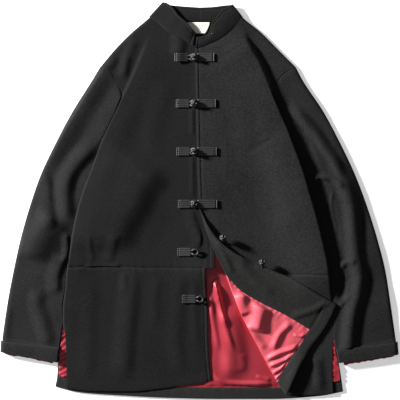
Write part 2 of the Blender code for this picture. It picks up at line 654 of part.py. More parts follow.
def sleeve_lining(name, cuff):
    """The strip of sleeve lining that peeps out past the cuff."""
    a, b = cuff_line(cuff, 1.0, SLEEVE_INSET + 6.0)
    down = np.subtract(cuff[2], cuff[0]) / np.linalg.norm(np.subtract(cuff[2], cuff[0]))
    inside, outside = -8.0 * down, LINING_PEEP * down
    sides = [edge((1, [end + inside, end + outside])) for end in (a, b)]
    ends = [edge((1, [a + move, b + move])) for move in (inside, outside)]
    plan = patch(*sides, *ends, shares(6), shares(2))
    z = np.full(plan.shape[:2], CUFF_LIFT + CLOTH + SEAM + LINING)
    return grid_object(name, raised(plan, z), LINING, "satin")


def collar_half(name, rows):
    """A band from the centre back round the side to the centre front."""
    at = sampled(rows, shares(22))
    across = shares(4)[None, :, None]
    place = at[:, None, :3] * (1 - across) + at[:, None, 3:] * across
    place[..., 2] += COLLAR_ARCH * np.sin(np.pi * across[..., 0])
    return grid_object(name, place, COLLAR_WALL, "wool", offset=0.0)


def neck_label():
    """A plain woven label below the back neck."""
    start = edge((1, [(-28, 356), (-22, 344), (-8, 334)]))
    end = edge((1, [(20, 356), (16, 344), (10, 334)]))
    head = edge((1, [(-28, 356), (20, 356)]))
    foot = edge((1, [(-8, 334), (10, 334)]))
    plan = patch(start, end, head, foot, shares(4), shares(2))
    z = np.full(plan.shape[:2], BACK_TOP + SEAM + LABEL_WALL)
    return grid_object("neck_label", raised(plan, z), LABEL_WALL, "label")


def top_of(*panels):
    """A function that gives the height of the highest of some panels over a plan rectangle."""
    bpy.context.view_layer.update()
    graph = bpy.context.evaluated_depsgraph_get()
    trees = [BVHTree.FromObject(panel, graph) for panel in panels]

    def height(x_range, y_range):
        found = BACK_TOP
        for x in np.linspace(*x_range, 7):
            for y in np.linspace(*y_range, 5):
                start = Vector((x * MM, y * MM, 0.1))
                for tree in trees:
                    hit = tree.ray_cast(start, Vector((0, 0, -1)))[0]
                    found = max(found, hit.z / MM if hit else BACK_TOP)
        return found

    return height


def frog_tab(name, y, x_start, x_end, height):
    """A tab of parallel cord rows that follows the panel that it is sewn to."""
    columns = np.linspace(x_start, x_end, 5)
    across = np.linspace(-1, 1, 2 * TAB_ROWS + 1)
    rows = y - across * TAB_HEIGHT / 2
    step = columns[1] - columns[0]
    seat = [height((x - step, x + step), (rows[-1], rows[0])) for x in columns]
    cords = CORD_RISE * (np.arange(len(across)) % 2)
    z = np.array(seat)[None, :] + LAID + TAB_WALL + 0.2 + cords[:, None]
    x, r = np.meshgrid(columns, rows)
    return grid_object(name, np.dstack([x, r, z]), TAB_WALL, "cord")


def frog_loop(name, centre_x, y, root, z_ring, radius):
    """The loop round a knot's place, a horseshoe of cord from its root, an x and a height."""
    points = [(root[0], y + radius * LOOP_SPREAD, root[1])]
    for k in range(LOOP_POINTS + 1):
        turn = math.pi / 2 - math.pi * k / LOOP_POINTS
        points.append((centre_x + radius * math.cos(turn), y + radius * math.sin(turn), z_ring))
    points.append((root[0], y - radius * LOOP_SPREAD, root[1]))
    line = bpy.data.curves.new(name, "CURVE")
    line.dimensions = "3D"
    spline = line.splines.new("POLY")
    spline.points.add(len(points) - 1)
    for slot, point in zip(spline.points, points):
        slot.co = (*(np.array(point) * MM), 1.0)
    line.bevel_depth = CORD_RADIUS * MM
    line.bevel_resolution = 2
    line.use_fill_caps = True
    made = bpy.data.objects.new(name, line)
    garment.objects.link(made)
    line.materials.append(material(name, "cord"))
    return made


def frog_knot(name, x, y, z):
    """A ball knot, a little flattened."""
    ball = bmesh.new()
    bmesh.ops.create_uvsphere(
        ball, u_segments=KNOT_SEGMENTS, v_segments=KNOT_RINGS, radius=KNOT_RADIUS * MM)
    bmesh.ops.scale(ball, vec=(1, 1, KNOT_FLATTEN), verts=ball.verts)
    mesh = bpy.data.meshes.new(name)
    ball.to_mesh(mesh)
    ball.free()
    mesh.materials.append(material(name, "cord"))
    mesh.shade_smooth()
    made = bpy.data.objects.new(name, mesh)
    made.location = Vector((x, y, z)) * MM
    garment.objects.link(made)
    return made


def frogs(right_panels, left_panels):
    """Four fastened rows, two undone loops and the two knots that belong to them."""
    on_right, on_left = top_of(*right_panels), top_of(*left_panels)
    on_both = top_of(*right_panels, *left_panels)
    knot_half = KNOT_RADIUS * KNOT_FLATTEN
    knot_seated = knot_half * math.sqrt(1 - (LOOP_RADIUS / KNOT_RADIUS) ** 2)

    def loop_root(x, y):
        seat = on_right((x, x + 3), (y - 8, y + 8))
        return x + 2 * LAID, seat + 2 * LAID + CORD_RADIUS

    for k, (y, start, end, left_start, left_end) in enumerate(FROGS, 1):
        frog_tab(f"frog_loop_tab_{k}", y, start, end, on_right)
        frog_tab(f"frog_knot_tab_{k}", y, left_start, left_end, on_left)
        cord_z = on_both((KNOT_X - 9, KNOT_X + 9), (y - 9, y + 9)) + LAID + CORD_RADIUS
        frog_loop(f"frog_loop_{k}", KNOT_X, y, loop_root(end, y), cord_z, LOOP_RADIUS)
        frog_knot(f"frog_knot_{k}", KNOT_X, y, cord_z + CORD_RADIUS + LAID + knot_seated)
    for k, (y, start, end, rise) in enumerate(OPEN_LOOPS, len(FROGS) + 1):
        frog_tab(f"frog_loop_tab_{k}", y, start, end, on_right)
        cord_z = on_both((end, end + 18), (y - 9, y + 9)) + LAID + CORD_RADIUS + rise
        frog_loop(f"frog_loop_{k}", end + 9, y, loop_root(end, y), cord_z, OPEN_RADIUS)
    for k, (x, y) in enumerate(OPEN_KNOTS, len(FROGS) + 1):
        seat = on_left((x - 6, x + 6), (y - 6, y + 6))
        frog_knot(f"frog_knot_{k}", x, y, seat + LAID + knot_half)


for old in list(bpy.data.objects):
    bpy.data.objects.remove(old)
garment = bpy.data.collections.new("tang_jacket")
bpy.context.scene.collection.children.link(garment)

back()
back_lining()
back_hem()
right_panels = [front_right_upper(), front_right_lower(), underlap()]
left_panels = [front_left_upper(), front_left_lower()]
flap_cloth()
flap_facing()
flap_lining()
flap_hem()
sleeve(
    "sleeve_right",
    edge((0.74, inset_line(SIDE_RIGHT, -BESIDE)), (0.9, inset_line(SKIRT_RIGHT, -BESIDE)),
         (1.0, SLEEVE_RIGHT_TAIL)),
    edge((1, SLEEVE_RIGHT_OUTER)),
    inset_line(ARMHOLE_RIGHT, -ARMHOLE_SEAM)[::-1],
    CUFF_RIGHT,
    FOLDS_SLEEVE_RIGHT,
)
sleeve(
    "sleeve_left",
    edge((0.74, inset_line(SIDE_LEFT, BESIDE)), (0.94, inset_line(SKIRT_LEFT, BESIDE)),
         (1.0, SLEEVE_LEFT_TAIL)),
    edge((1, SLEEVE_LEFT_OUTER)),
    inset_line(ARMHOLE_LEFT, ARMHOLE_SEAM)[::-1],
    CUFF_LEFT,
    FOLDS_SLEEVE_LEFT,
)
turned_cuff("cuff_right", CUFF_RIGHT)
turned_cuff("cuff_left", CUFF_LEFT)
sleeve_lining("sleeve_lining_right", CUFF_RIGHT)
sleeve_lining("sleeve_lining_left", CUFF_LEFT)
collar_half("collar_right", COLLAR_RIGHT)
collar_half("collar_left", COLLAR_LEFT)
neck_label()
frogs(right_panels, left_panels)
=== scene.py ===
"""A wool tang jacket laid flat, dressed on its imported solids.

Plan: +X towards the wearer's left sleeve, +Y towards the collar, +Z up from the surface.
Tables are in millimetres and hold plan points, x then y, unless a field says otherwise.
"""

import logging
import math
from collections.abc import Callable, Sequence
from dataclasses import dataclass, field, replace
from enum import Enum
from functools import cache

import bpy
import numpy as np
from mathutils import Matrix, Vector
from mathutils.bvhtree import BVHTree

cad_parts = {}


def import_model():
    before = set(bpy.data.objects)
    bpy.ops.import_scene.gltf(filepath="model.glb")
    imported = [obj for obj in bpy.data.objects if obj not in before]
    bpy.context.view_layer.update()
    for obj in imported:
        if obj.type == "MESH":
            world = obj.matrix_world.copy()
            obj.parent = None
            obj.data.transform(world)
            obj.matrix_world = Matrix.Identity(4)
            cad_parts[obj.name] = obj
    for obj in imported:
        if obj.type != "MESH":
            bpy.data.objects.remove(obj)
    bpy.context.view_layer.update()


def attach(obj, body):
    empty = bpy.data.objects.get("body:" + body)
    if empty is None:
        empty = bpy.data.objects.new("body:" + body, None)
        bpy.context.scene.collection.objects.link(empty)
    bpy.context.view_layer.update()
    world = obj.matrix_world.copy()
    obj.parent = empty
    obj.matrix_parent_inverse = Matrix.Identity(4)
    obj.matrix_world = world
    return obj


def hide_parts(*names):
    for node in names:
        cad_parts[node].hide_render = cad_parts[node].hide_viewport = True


MM = 0.001
CM2 = 1e4
BODY = "root"
log = logging.getLogger("tang_jacket")

Points = Sequence[Sequence[float]]
Line = Callable[[np.ndarray], np.ndarray]


class Side(Enum):
    """The four edges of a panel's grid."""

    START = "start"
    END = "end"
    HEAD = "head"
    FOOT = "foot"


class Hold(Enum):
    """How a sheet of cloth lies."""

    LAID = "laid"
    FOLDED = "folded"


# The kinds of the node groups' sockets, by label. Any other socket is a number.
NUMBER, COLOUR = "NodeSocketFloat", "NodeSocketColor"
SOCKETS = {"Place": "NodeSocketVector", "Plain": COLOUR, "Other": COLOUR, "Colour": COLOUR,
           "Lines": "NodeSocketGeometry", "Stitches": "NodeSocketGeometry",
           "Seed": "NodeSocketInt", "Thread": "NodeSocketMaterial"}

# Straight stretches that stand for a fold's line, and for a line that folds keep clear of.
FOLD_STRETCHES, CLEAR_STRETCHES = 24, 40
# The share of a fold's length over which it rises at each end.
FOLD_TAPER = 0.2
# Undulation: how many waves, their lengths as shares of the usual one, how they sway, and the
# number that brings their sum back to the usual height.
WAVES, WAVE_LENGTHS, SWAY_LENGTH, SWAY, WAVE_SUM = 7, (0.7, 1.9), 2.3, 1.2, 3.0
# The usual height of the finest waves on the wool.
FINE_HEIGHT = 0.12
# Gathers beside a seam: their spacing and how it drifts, then their reach and how it varies.
PUCKER_WAVE, PUCKER_SWAY, PUCKER_DRIFT = 2.9, 1.6, 11.0
PUCKER_REACH, PUCKER_UNEVEN, PUCKER_BEAT = 7.0, 3.5, 17.0
# A turned-up hem's depth, and the faint groove along its top.
HEM_DEPTH, HEM_GROOVE, HEM_GROOVE_WIDTH = 22.0, 0.25, 2.5
# Mesh lines: how near two may come, as a share of the step, and where a seam or a turn needs them.
CLOSEST = 0.35
SEAM_NEAR = (1.0, 2.2, 3.6, 5.4)
ROLL_STEPS = (0.0, 0.2, 0.4, 0.58, 0.72, 0.84, 0.92, 0.97, 0.992)
# How far from its border a piece is rubbed, and the angle over which its edges are softened.
RUBBED_REACH, SOFT_ANGLE = 2.2, math.radians(50)
# Rows of stitches in plan: the end of the one down the lap, those on the underlap and above the
# label, how far the ones on the hems are from their edges, and the crossed tacks on the facing.
LAP_END = (-2.6, -8)
UNDERLAP_ROW = ((21.6, -60), (21.6, -134))
LABEL_ROW = ((-26, 353.6), (18, 353.6))
HEM_ROW, FOLD_ROW = 19.5, (3.0, -2.0)
TACKS, TACK = ((99, -166), (105, -166)), (5, 4)
# The turns in degrees that are tried for the smallest box round a piece.
BOX_TURNS = range(-45, 45, 3)
# The height in metres that rays fall from.
RAY_START = 0.1


# ---------------------------------------------------------------- the scene


def placed(name: str, data: bpy.types.ID) -> bpy.types.Object:
    """A new object in the scene.

    Args:
        name: Its name.
        data: Its mesh, curve, lamp or camera.

    Returns:
        The object.
    """
    made = bpy.data.objects.new(name, data)
    bpy.context.scene.collection.objects.link(made)
    return made


def smooth_mesh(name: str, points: Sequence, faces: Sequence,
                material: bpy.types.Material) -> bpy.types.Mesh:
    """A new smooth mesh with one material.

    Args:
        name: Its name.
        points: Its points in metres.
        faces: The numbers of each face's points.
        material: The material.

    Returns:
        The mesh.
    """
    mesh = bpy.data.meshes.new(name)
    mesh.from_pydata(points, [], faces)
    mesh.materials.append(material)
    mesh.shade_smooth()
    return mesh


def evaluated() -> bpy.types.Depsgraph:
    """The scene as it is now, its modifiers applied."""
    bpy.context.view_layer.update()
    return bpy.context.evaluated_depsgraph_get()


# ---------------------------------------------------------------- lines and surfaces


def sampled(points: Points, at: np.ndarray) -> np.ndarray:
    """Points of a smooth line through the given ones.

    Args:
        points: The points that the line passes through.
        at: Shares of its length, from 0 to 1.

    Returns:
        One point a share.
    """
    points = np.array(points, float)
    at = np.asarray(at, float)
    chord = np.linalg.norm(np.diff(points, axis=0), axis=1)
    place = np.concatenate([[0.0], np.cumsum(chord)])
    slope = np.diff(points, axis=0) / chord[:, None]
    tangent = np.empty_like(points)
    tangent[0], tangent[-1] = slope[0], slope[-1]
    same_way = slope[1:] * slope[:-1] > 0
    total = np.where(same_way, slope[1:] + slope[:-1], 1.0)
    tangent[1:-1] = np.where(same_way, 2 * slope[1:] * slope[:-1] / total, 0.0)
    here = at * place[-1]
    i = np.clip(np.searchsorted(place, here, side="right") - 1, 0, len(chord) - 1)
    span = chord[i][:, None]
    t = ((here - place[i]) / chord[i])[:, None]
    return (
        (1 + 2 * t) * (1 - t) ** 2 * points[i]
        + t * (1 - t) ** 2 * span * tangent[i]
        + t**2 * (3 - 2 * t) * points[i + 1]
        + t**2 * (t - 1) * span * tangent[i + 1]
    )


def edge(*runs: tuple[float, Points]) -> Line:
    """An edge made of runs of points.

    Args:
        runs: Pairs of the share of the edge at which a run ends, and its points.

    Returns:
        A function from shares of the edge to plan points.
    """

    def points_at(at: np.ndarray) -> np.ndarray:
        """Plan points at shares of the edge.

        Args:
            at: The shares.

        Returns:
            One point a share.
        """
        at = np.asarray(at, float)
        found = np.zeros((len(at), 2))
        start = 0.0
        for end, points in runs:
            inside = (at >= start) & (at <= end)
            found[inside] = sampled(points, (at[inside] - start) / (end - start))
            start = end
        return found

    return points_at


def straight(*points: Sequence[float]) -> Line:
    """An edge with one run through the given points."""
    return edge((1, points))


class Panel:
    """The plan of a four-sided panel between its edges."""

    def __init__(self, start: Line, end: Line, head: Line, foot: Line, u: np.ndarray,
                 v: np.ndarray) -> None:
        """Fills in the panel.

        Args:
            start: The edge at u 0, from head to foot.
            end: The edge at u 1.
            head: The edge at v 0, from start to end.
            foot: The edge at v 1.
            u: Shares across.
            v: Shares along.
        """
        self.u, self.v = u, v
        s, e, h, f = start(v), end(v), head(u), foot(u)
        u, v = u[None, :, None], v[:, None, None]
        across = (1 - u) * s[:, None] + u * e[:, None]
        along = (1 - v) * h[None] + v * f[None]
        corners = (1 - u) * (1 - v) * h[0] + u * (1 - v) * h[-1] + (1 - u) * v * f[0] + u * v * f[-1]
        self.plan = across + along - corners
        self.x, self.y = self.plan[..., 0], self.plan[..., 1]

    def off(self, side: Side) -> np.ndarray:
        """How far each point lies from one of the edges, along its row or column.

        Args:
            side: The edge.

        Returns:
            Distances.
        """
        p = self.plan
        rim = {Side.START: p[:, :1], Side.END: p[:, -1:], Side.HEAD: p[:1], Side.FOOT: p[-1:]}[side]
        return np.linalg.norm(p - rim, axis=2)

    def raised(self, z: np.ndarray) -> np.ndarray:
        """The panel's points with their heights."""
        return np.dstack([self.x, self.y, z])


def joined(start: Line, end: Line, share: float) -> Line:
    """A straight edge between two others, at a share of both."""
    return straight(start([share])[0], end([share])[0])


def smooth_step(t: np.ndarray) -> np.ndarray:
    """A soft step from 0 to 1."""
    t = np.clip(t, 0.0, 1.0)
    return t * t * (3 - 2 * t)


def bell(distance: np.ndarray, width: float) -> np.ndarray:
    """1 at no distance, falling off softly to both sides."""
    return np.exp(-((distance / width) ** 2))


def beside(x: np.ndarray, y: np.ndarray, points: Points, count: int) -> tuple[np.ndarray, ...]:
    """Where plan points lie along and beside a line.

    Args:
        x, y: Plan points.
        points: The line.
        count: How many straight stretches stand for it.

    Returns:
        The distance from the line, a number above 0 on its left, and the share along it.
    """
    line = sampled(points, np.linspace(0, 1, count + 1))
    best = np.full(x.shape, 1e9)
    side = np.zeros_like(x)
    share = np.zeros_like(x)
    for k in range(count):
        a, way = line[k], line[k + 1] - line[k]
        t = np.clip(((x - a[0]) * way[0] + (y - a[1]) * way[1]) / (way @ way), 0, 1)
        dx, dy = x - a[0] - t * way[0], y - a[1] - t * way[1]
        away = np.hypot(dx, dy)
        nearer = away < best
        best = np.where(nearer, away, best)
        side = np.where(nearer, way[0] * dy - way[1] * dx, side)
        share = np.where(nearer, (k + t) / count, share)
    return best, side, share


def folds_at(x: np.ndarray, y: np.ndarray, folds: Sequence[tuple]) -> np.ndarray:
    """The summed height of folds at plan points.

    Args:
        x, y: Plan points.
        folds: Rows of height, width to the left of the way it runs, width to its right, points.

    Returns:
        Heights.
    """
    total = np.zeros_like(x)
    for height, left, right, points in folds:
        best, side, share = beside(x, y, points, FOLD_STRETCHES)
        width = np.where(side > 0, left, right)
        taper = smooth_step(share / FOLD_TAPER) * smooth_step((1 - share) / FOLD_TAPER)
        total += height * taper * (0.5 + 0.5 * np.cos(np.pi * np.clip(best / width, 0, 1)))
    return total


def undulation(x: np.ndarray, y: np.ndarray, wave: float, height: float, seed: int) -> np.ndarray:
    """Gentle unevenness of cloth that has been pressed and worn.

    Args:
        x, y: Plan points.
        wave: The usual length of a wave.
        height: The usual height.
        seed: What fixes the waves' directions.

    Returns:
        Heights about 0.
    """
    draw = np.random.RandomState(seed)
    total = np.zeros_like(x)
    for _ in range(WAVES):
        turn, phase = draw.uniform(0, math.tau, 2)
        length = wave * draw.uniform(*WAVE_LENGTHS)
        across = (x * math.cos(turn) + y * math.sin(turn)) / length
        sway = np.sin((y * math.cos(turn) - x * math.sin(turn)) / (SWAY_LENGTH * length) + phase)
        total += np.sin(math.tau * across / 2 + phase + SWAY * sway)
    return total * height / WAVE_SUM


def worn(x: np.ndarray, y: np.ndarray, broad: tuple[float, float], fine: float,
         seed: int) -> np.ndarray:
    """Broad and fine unevenness together.

    Args:
        x, y: Plan points.
        broad: The usual length and height of the broad waves.
        fine: The usual length of the fine ones.
        seed: What fixes them.

    Returns:
        Heights about 0.
    """
    return undulation(x, y, *broad, seed) + undulation(x, y, fine, FINE_HEIGHT, seed + 1)


def clear_of(x: np.ndarray, y: np.ndarray, line: Points, reach: float) -> np.ndarray:
    """1 away from a line, falling to 0 on it, so that folds die out before another layer."""
    return smooth_step(beside(x, y, line, CLEAR_STRETCHES)[0] / reach)


def inset_line(points: Points, by: float) -> np.ndarray:
    """A line moved sideways in plan, towards its left as it runs where by is above 0.

    Args:
        points: The line.
        by: How far it moves.

    Returns:
        A denser line.
    """
    points = sampled(points, np.linspace(0, 1, 4 * len(points)))
    way = np.gradient(points, axis=0)
    way /= np.linalg.norm(way, axis=1)[:, None]
    return points + by * np.column_stack([-way[:, 1], way[:, 0]])


def lowered(points: Points, by: float) -> np.ndarray:
    """A line moved down the jacket."""
    return np.array(points, float) - (0, by)


def spread(length: float, step: float, near: Sequence[float] = (), far: Sequence[float] = (),
           also: Sequence[float] = ()) -> np.ndarray:
    """Shares along a length: even ones, and close ones where an edge needs them.

    Args:
        length: The length to divide.
        step: The usual spacing.
        near: Distances from the start that need a share.
        far: Distances from the end that need one.
        also: Shares that have to be among them.

    Returns:
        Shares from 0 to 1 in order.
    """
    special = [0.0, 1.0, *also, *(d / length for d in near), *(1 - d / length for d in far)]
    kept = sorted(set(round(s, 6) for s in special))
    for share in np.linspace(0, 1, math.ceil(length / step) + 1):
        if min(abs(share - s) for s in kept) > CLOSEST * step / length:
            special.append(share)
    return np.array(sorted(set(round(float(s), 6) for s in special)))


def turned_down(z: np.ndarray, closeness: np.ndarray, weight: np.ndarray, foot: float) -> np.ndarray:
    """Heights turned down round an edge.

    Args:
        z: Heights.
        closeness: From 0 inside to 1 on the edge.
        weight: How much of the turn there is.
        foot: The height on the edge.

    Returns:
        Heights.
    """
    k = np.clip(closeness, 0, 1)
    down = foot + (z - foot) * np.sqrt(1 - k**2)
    return z * (1 - weight) + down * weight


@dataclass(frozen=True)
class EdgeForm:
    """How a turned and top-stitched edge swells and dips."""

    stitch: float = 8.0
    dip: float = 0.55
    dip_width: float = 1.3
    swell: float = 0.35

    def near(self) -> tuple[float, ...]:
        """Distances from the edge at which the mesh needs a line of points."""
        s = self.stitch
        return (0.9, 0.35 * s, 0.65 * s, s - 1.4, s - 0.6, s, s + 0.6, s + 1.4, s + 2.8)

    def heights(self, distance: np.ndarray) -> np.ndarray:
        """What the edge adds to the height at a distance from it.

        Args:
            distance: The distance.

        Returns:
            Heights about 0.
        """
        groove = bell(distance - self.stitch, self.dip_width)
        inside = np.clip(distance / self.stitch, 0, 1)
        return self.swell * np.sin(np.pi * inside) - self.dip * groove


def seam_dip(distance: np.ndarray, depth: float, reach: float = 2.6) -> np.ndarray:
    """How the cloth sinks into the seam at its edge."""
    return -depth * bell(distance, reach)


def hem_line(distance: np.ndarray) -> np.ndarray:
    """How the cloth dips at a hem's edge, and a little over the top of its turning."""
    groove = HEM_GROOVE * bell(distance - HEM_DEPTH, HEM_GROOVE_WIDTH)
    return seam_dip(distance, depth=0.7, reach=2.0) - groove


def puckers(distance: np.ndarray, along: np.ndarray, height: float, seed: int) -> np.ndarray:
    """Small gathers beside a seam, uneven in length and spacing.

    Args:
        distance: Distance from the seam.
        along: Place along it.
        height: Their height.
        seed: What fixes their spacing.

    Returns:
        Heights about 0.
    """
    draw = np.random.RandomState(seed)
    a, b = draw.uniform(0, math.tau, 2)
    wave = np.sin(along / PUCKER_WAVE + PUCKER_SWAY * np.sin(along / PUCKER_DRIFT + a) + b)
    reach = PUCKER_REACH + PUCKER_UNEVEN * np.sin(along / PUCKER_BEAT + b)
    return height * wave * np.exp(-distance / reach)


@dataclass
class Cloth:
    """A piece of cloth: a grid of places in millimetres that gets a wall."""

    name: str
    place: np.ndarray
    wall: float
    tube: bool = False
    band: bool = False
    rounding: float = 0.45

    def lengths(self) -> tuple[np.ndarray, np.ndarray]:
        """Lengths over the cloth from the first column across, and from the first row along.

        Returns:
            Both, with a length for each point.
        """
        across = np.cumsum(np.linalg.norm(np.diff(self.place, axis=1), axis=2), axis=1)
        along = np.cumsum(np.linalg.norm(np.diff(self.place, axis=0), axis=2), axis=0)
        return np.pad(across, ((0, 0), (1, 0))), np.pad(along, ((1, 0), (0, 0)))

    def cut(self) -> tuple[float, float, float]:
        """The flat width, length and area that the piece was cut to, in metres.

        Returns:
            The width, the length and the area.
        """
        def area(p: np.ndarray) -> float:
            """The area of the grid's quads."""
            cross = np.cross(p[1:, 1:] - p[:-1, :-1], p[1:, :-1] - p[:-1, 1:])
            return float(np.linalg.norm(cross, axis=2).sum() / 2)

        across, along = self.lengths()
        flat = area(self.place)
        if self.tube or self.band:
            sides = (across[:, -1].max(), along[-1].max())
        else:
            plan = self.place[..., :2].reshape(-1, 2)
            turns = [(math.cos(t), math.sin(t)) for t in np.radians(BOX_TURNS)]
            boxes = [np.ptp(plan @ np.array([(c, -s), (s, c)]), axis=0) for c, s in turns]
            growth = math.sqrt(flat / area(self.place * (1, 1, 0)))
            sides = min(boxes, key=np.prod) * growth
        return sides[0] * MM, sides[1] * MM, flat * MM * MM

    def weave_map(self) -> np.ndarray:
        """Where each point lies on the flat cloth, in metres, so that its weave follows it.

        Returns:
            A place for each point.
        """
        if not (self.tube or self.band):
            return self.place[..., :2] * MM
        across, along = self.lengths()
        middle = across - across[:, -1:] / 2
        return np.dstack([middle, -along.mean(axis=1)[:, None] + 0 * middle]) * MM

    def edge_closeness(self) -> np.ndarray:
        """1 on the piece's border, falling off within a few millimetres of it.

        Returns:
            A number from 0 to 1 for each point.
        """
        across, along = self.lengths()
        gaps = [along, along[-1:] - along]
        if not self.tube:
            gaps += [across, across[:, -1:] - across]
        return np.exp(-np.min(gaps, axis=0) / RUBBED_REACH)

    def build(self, finish: bpy.types.Material) -> bpy.types.Object:
        """The walled piece, smooth, with its weave map.

        Args:
            finish: Its material.

        Returns:
            The piece, at the origin.
        """
        rows, columns = self.place.shape[:2]
        around = columns - 1 if self.tube else columns
        points = (self.place[:, :around] * MM).reshape(-1, 3)
        r, c = np.meshgrid(np.arange(rows - 1), np.arange(columns - 1), indexing="ij")
        r, c = r.ravel(), c.ravel()
        corners = [(r, c), (r, c + 1), (r + 1, c + 1), (r + 1, c)]
        faces = np.column_stack([i * around + j % around for i, j in corners])
        on_map = np.column_stack([i * columns + j for i, j in corners])
        a, b = points[faces[:, 2]] - points[faces[:, 0]], points[faces[:, 3]] - points[faces[:, 1]]
        normals = np.cross(a, b)
        centre = points[faces].mean(axis=1) - points.mean(axis=0)
        facing = (normals * centre).sum() if self.tube else normals[:, 2].sum()
        if facing < 0:
            faces, on_map = faces[:, ::-1], on_map[:, ::-1]
        mesh = smooth_mesh(self.name, points.tolist(), faces.tolist(), finish)
        weave = mesh.uv_layers.new(name="weave")
        weave.data.foreach_set("uv", self.weave_map().reshape(-1, 2)[on_map.ravel()].ravel())
        border = mesh.attributes.new("edge", "FLOAT", "POINT")
        border.data.foreach_set("value", self.edge_closeness()[:, :around].ravel())
        made = placed(self.name, mesh)
        wall = made.modifiers.new("Wall", "SOLIDIFY")
        wall.thickness = self.wall * MM
        wall.offset = 0.0 if self.band else -1.0
        if self.rounding:
            soft = made.modifiers.new("Soft edge", "BEVEL")
            soft.width = self.rounding * MM
            soft.segments = 2
            soft.limit_method = "ANGLE"
            soft.angle_limit = SOFT_ANGLE
        return made


def settle(piece: bpy.types.Object, *nodes: str, slot: str = "") -> None:
    """Attaches a finished piece to its body and hides the solids that it stands for.

    Args:
        piece: The piece.
        nodes: The solids.
        slot: Not used.
    """
    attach(piece, BODY)
    if nodes:
        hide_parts(*nodes)


@dataclass
class Wardrobe:
    """Builds the sheets of cloth, keeps them by node, and says what each was cut to."""

    sheets: dict[str, bpy.types.Object] = field(default_factory=dict)

    def sheet(self, node: str, cloth: Cloth, finish: "Finish", rests_on: str,
              hold: Hold = Hold.LAID) -> None:
        """Args:
            node: The solid that it stands for.
            cloth: Its shape.
            finish: What it is made of.
            rests_on: Not used.
            hold: Not used.
        """
        piece = cloth.build(finish.material())
        settle(piece, node, slot=finish.slot)
        width, length, area = cloth.cut()
        self.sheets[node] = piece
        log.info("%s: cut %.0f x %.0f mm, %.0f cm2, %d points", piece.name, width / MM, length / MM,
                 area * CM2, len(piece.data.vertices))

    def drape(self, points: np.ndarray, nodes: Sequence[str], above: float) -> np.ndarray:
        """Plan points dropped onto pieces of cloth.

        Args:
            points: Plan points in millimetres.
            nodes: The solids whose pieces they fall on.
            above: How far over the cloth they end.

        Returns:
            Points with heights. One that falls beside the cloth takes its neighbour's height.
        """
        graph = evaluated()
        trees = [BVHTree.FromObject(self.sheets[n], graph) for n in nodes]
        heights = np.full(len(points), np.nan)
        for k, (x, y) in enumerate(points):
            for tree in trees:
                hit = tree.ray_cast(Vector((x * MM, y * MM, RAY_START)), Vector((0, 0, -1)))[0]
                if hit:
                    heights[k] = np.nanmax([heights[k], hit.z / MM])
        known = np.flatnonzero(~np.isnan(heights))
        heights = np.interp(np.arange(len(points)), known, heights[known])
        return np.column_stack([points, heights + above])


# ---------------------------------------------------------------- finishes


def add_sockets(tree: bpy.types.NodeTree, way: str, labels: Sequence[str]) -> dict[str, str]:
    """Gives a group its sockets on one side.

    Args:
        tree: The group's tree.
        way: INPUT or OUTPUT.
        labels: Their labels.

    Returns:
        Their identifiers by label.
    """
    return {label: tree.interface.new_socket(
        label, in_out=way, socket_type=SOCKETS.get(label, NUMBER)).identifier for label in labels}


class Graph:
    """A hand for building a node tree."""

    def __init__(self, tree: bpy.types.NodeTree) -> None:
        """Takes the tree to build in."""
        self.tree = tree

    def add(self, kind: str, inputs: dict | None = None, **settings: object) -> bpy.types.Node:
        """Adds a node.

        Args:
            kind: Its type.
            inputs: Values or sockets for its inputs, by name or number.
            settings: Its other settings.

        Returns:
            The node.
        """
        node = self.tree.nodes.new(kind)
        for key, value in settings.items():
            setattr(node, key, value)
        for key, value in (inputs or {}).items():
            if isinstance(value, bpy.types.NodeSocket):
                self.tree.links.new(value, node.inputs[key])
            else:
                node.inputs[key].default_value = value
        return node

    def math(self, operation: str, a: object, b: object = 0.0) -> bpy.types.NodeSocket:
        """The result of a sum on two numbers or sockets."""
        return self.add("ShaderNodeMath", {0: a, 1: b}, operation=operation).outputs[0]

    def times(self, a: object, b: object) -> bpy.types.NodeSocket:
        """Two numbers or sockets multiplied."""
        return self.math("MULTIPLY", a, b)

    def noise(self, place: bpy.types.NodeSocket, scale: object, detail: float) -> bpy.types.NodeSocket:
        """Noise at a place, from 0 to 1."""
        inputs = {"Vector": place, "Scale": scale, "Detail": detail}
        return self.add("ShaderNodeTexNoise", inputs).outputs["Fac"]

    def blend(self, share: object, first: object, second: object) -> bpy.types.NodeSocket:
        """Two colours mixed, a share of the second one."""
        inputs = {0: share, 6: first, 7: second}
        return self.add("ShaderNodeMix", inputs, data_type="RGBA").outputs[2]

    def effect(self, tree: bpy.types.NodeTree, **given: object) -> bpy.types.bpy_prop_collection:
        """The results of a node group on values or sockets, by label."""
        return self.add("ShaderNodeGroup", given, node_tree=tree).outputs


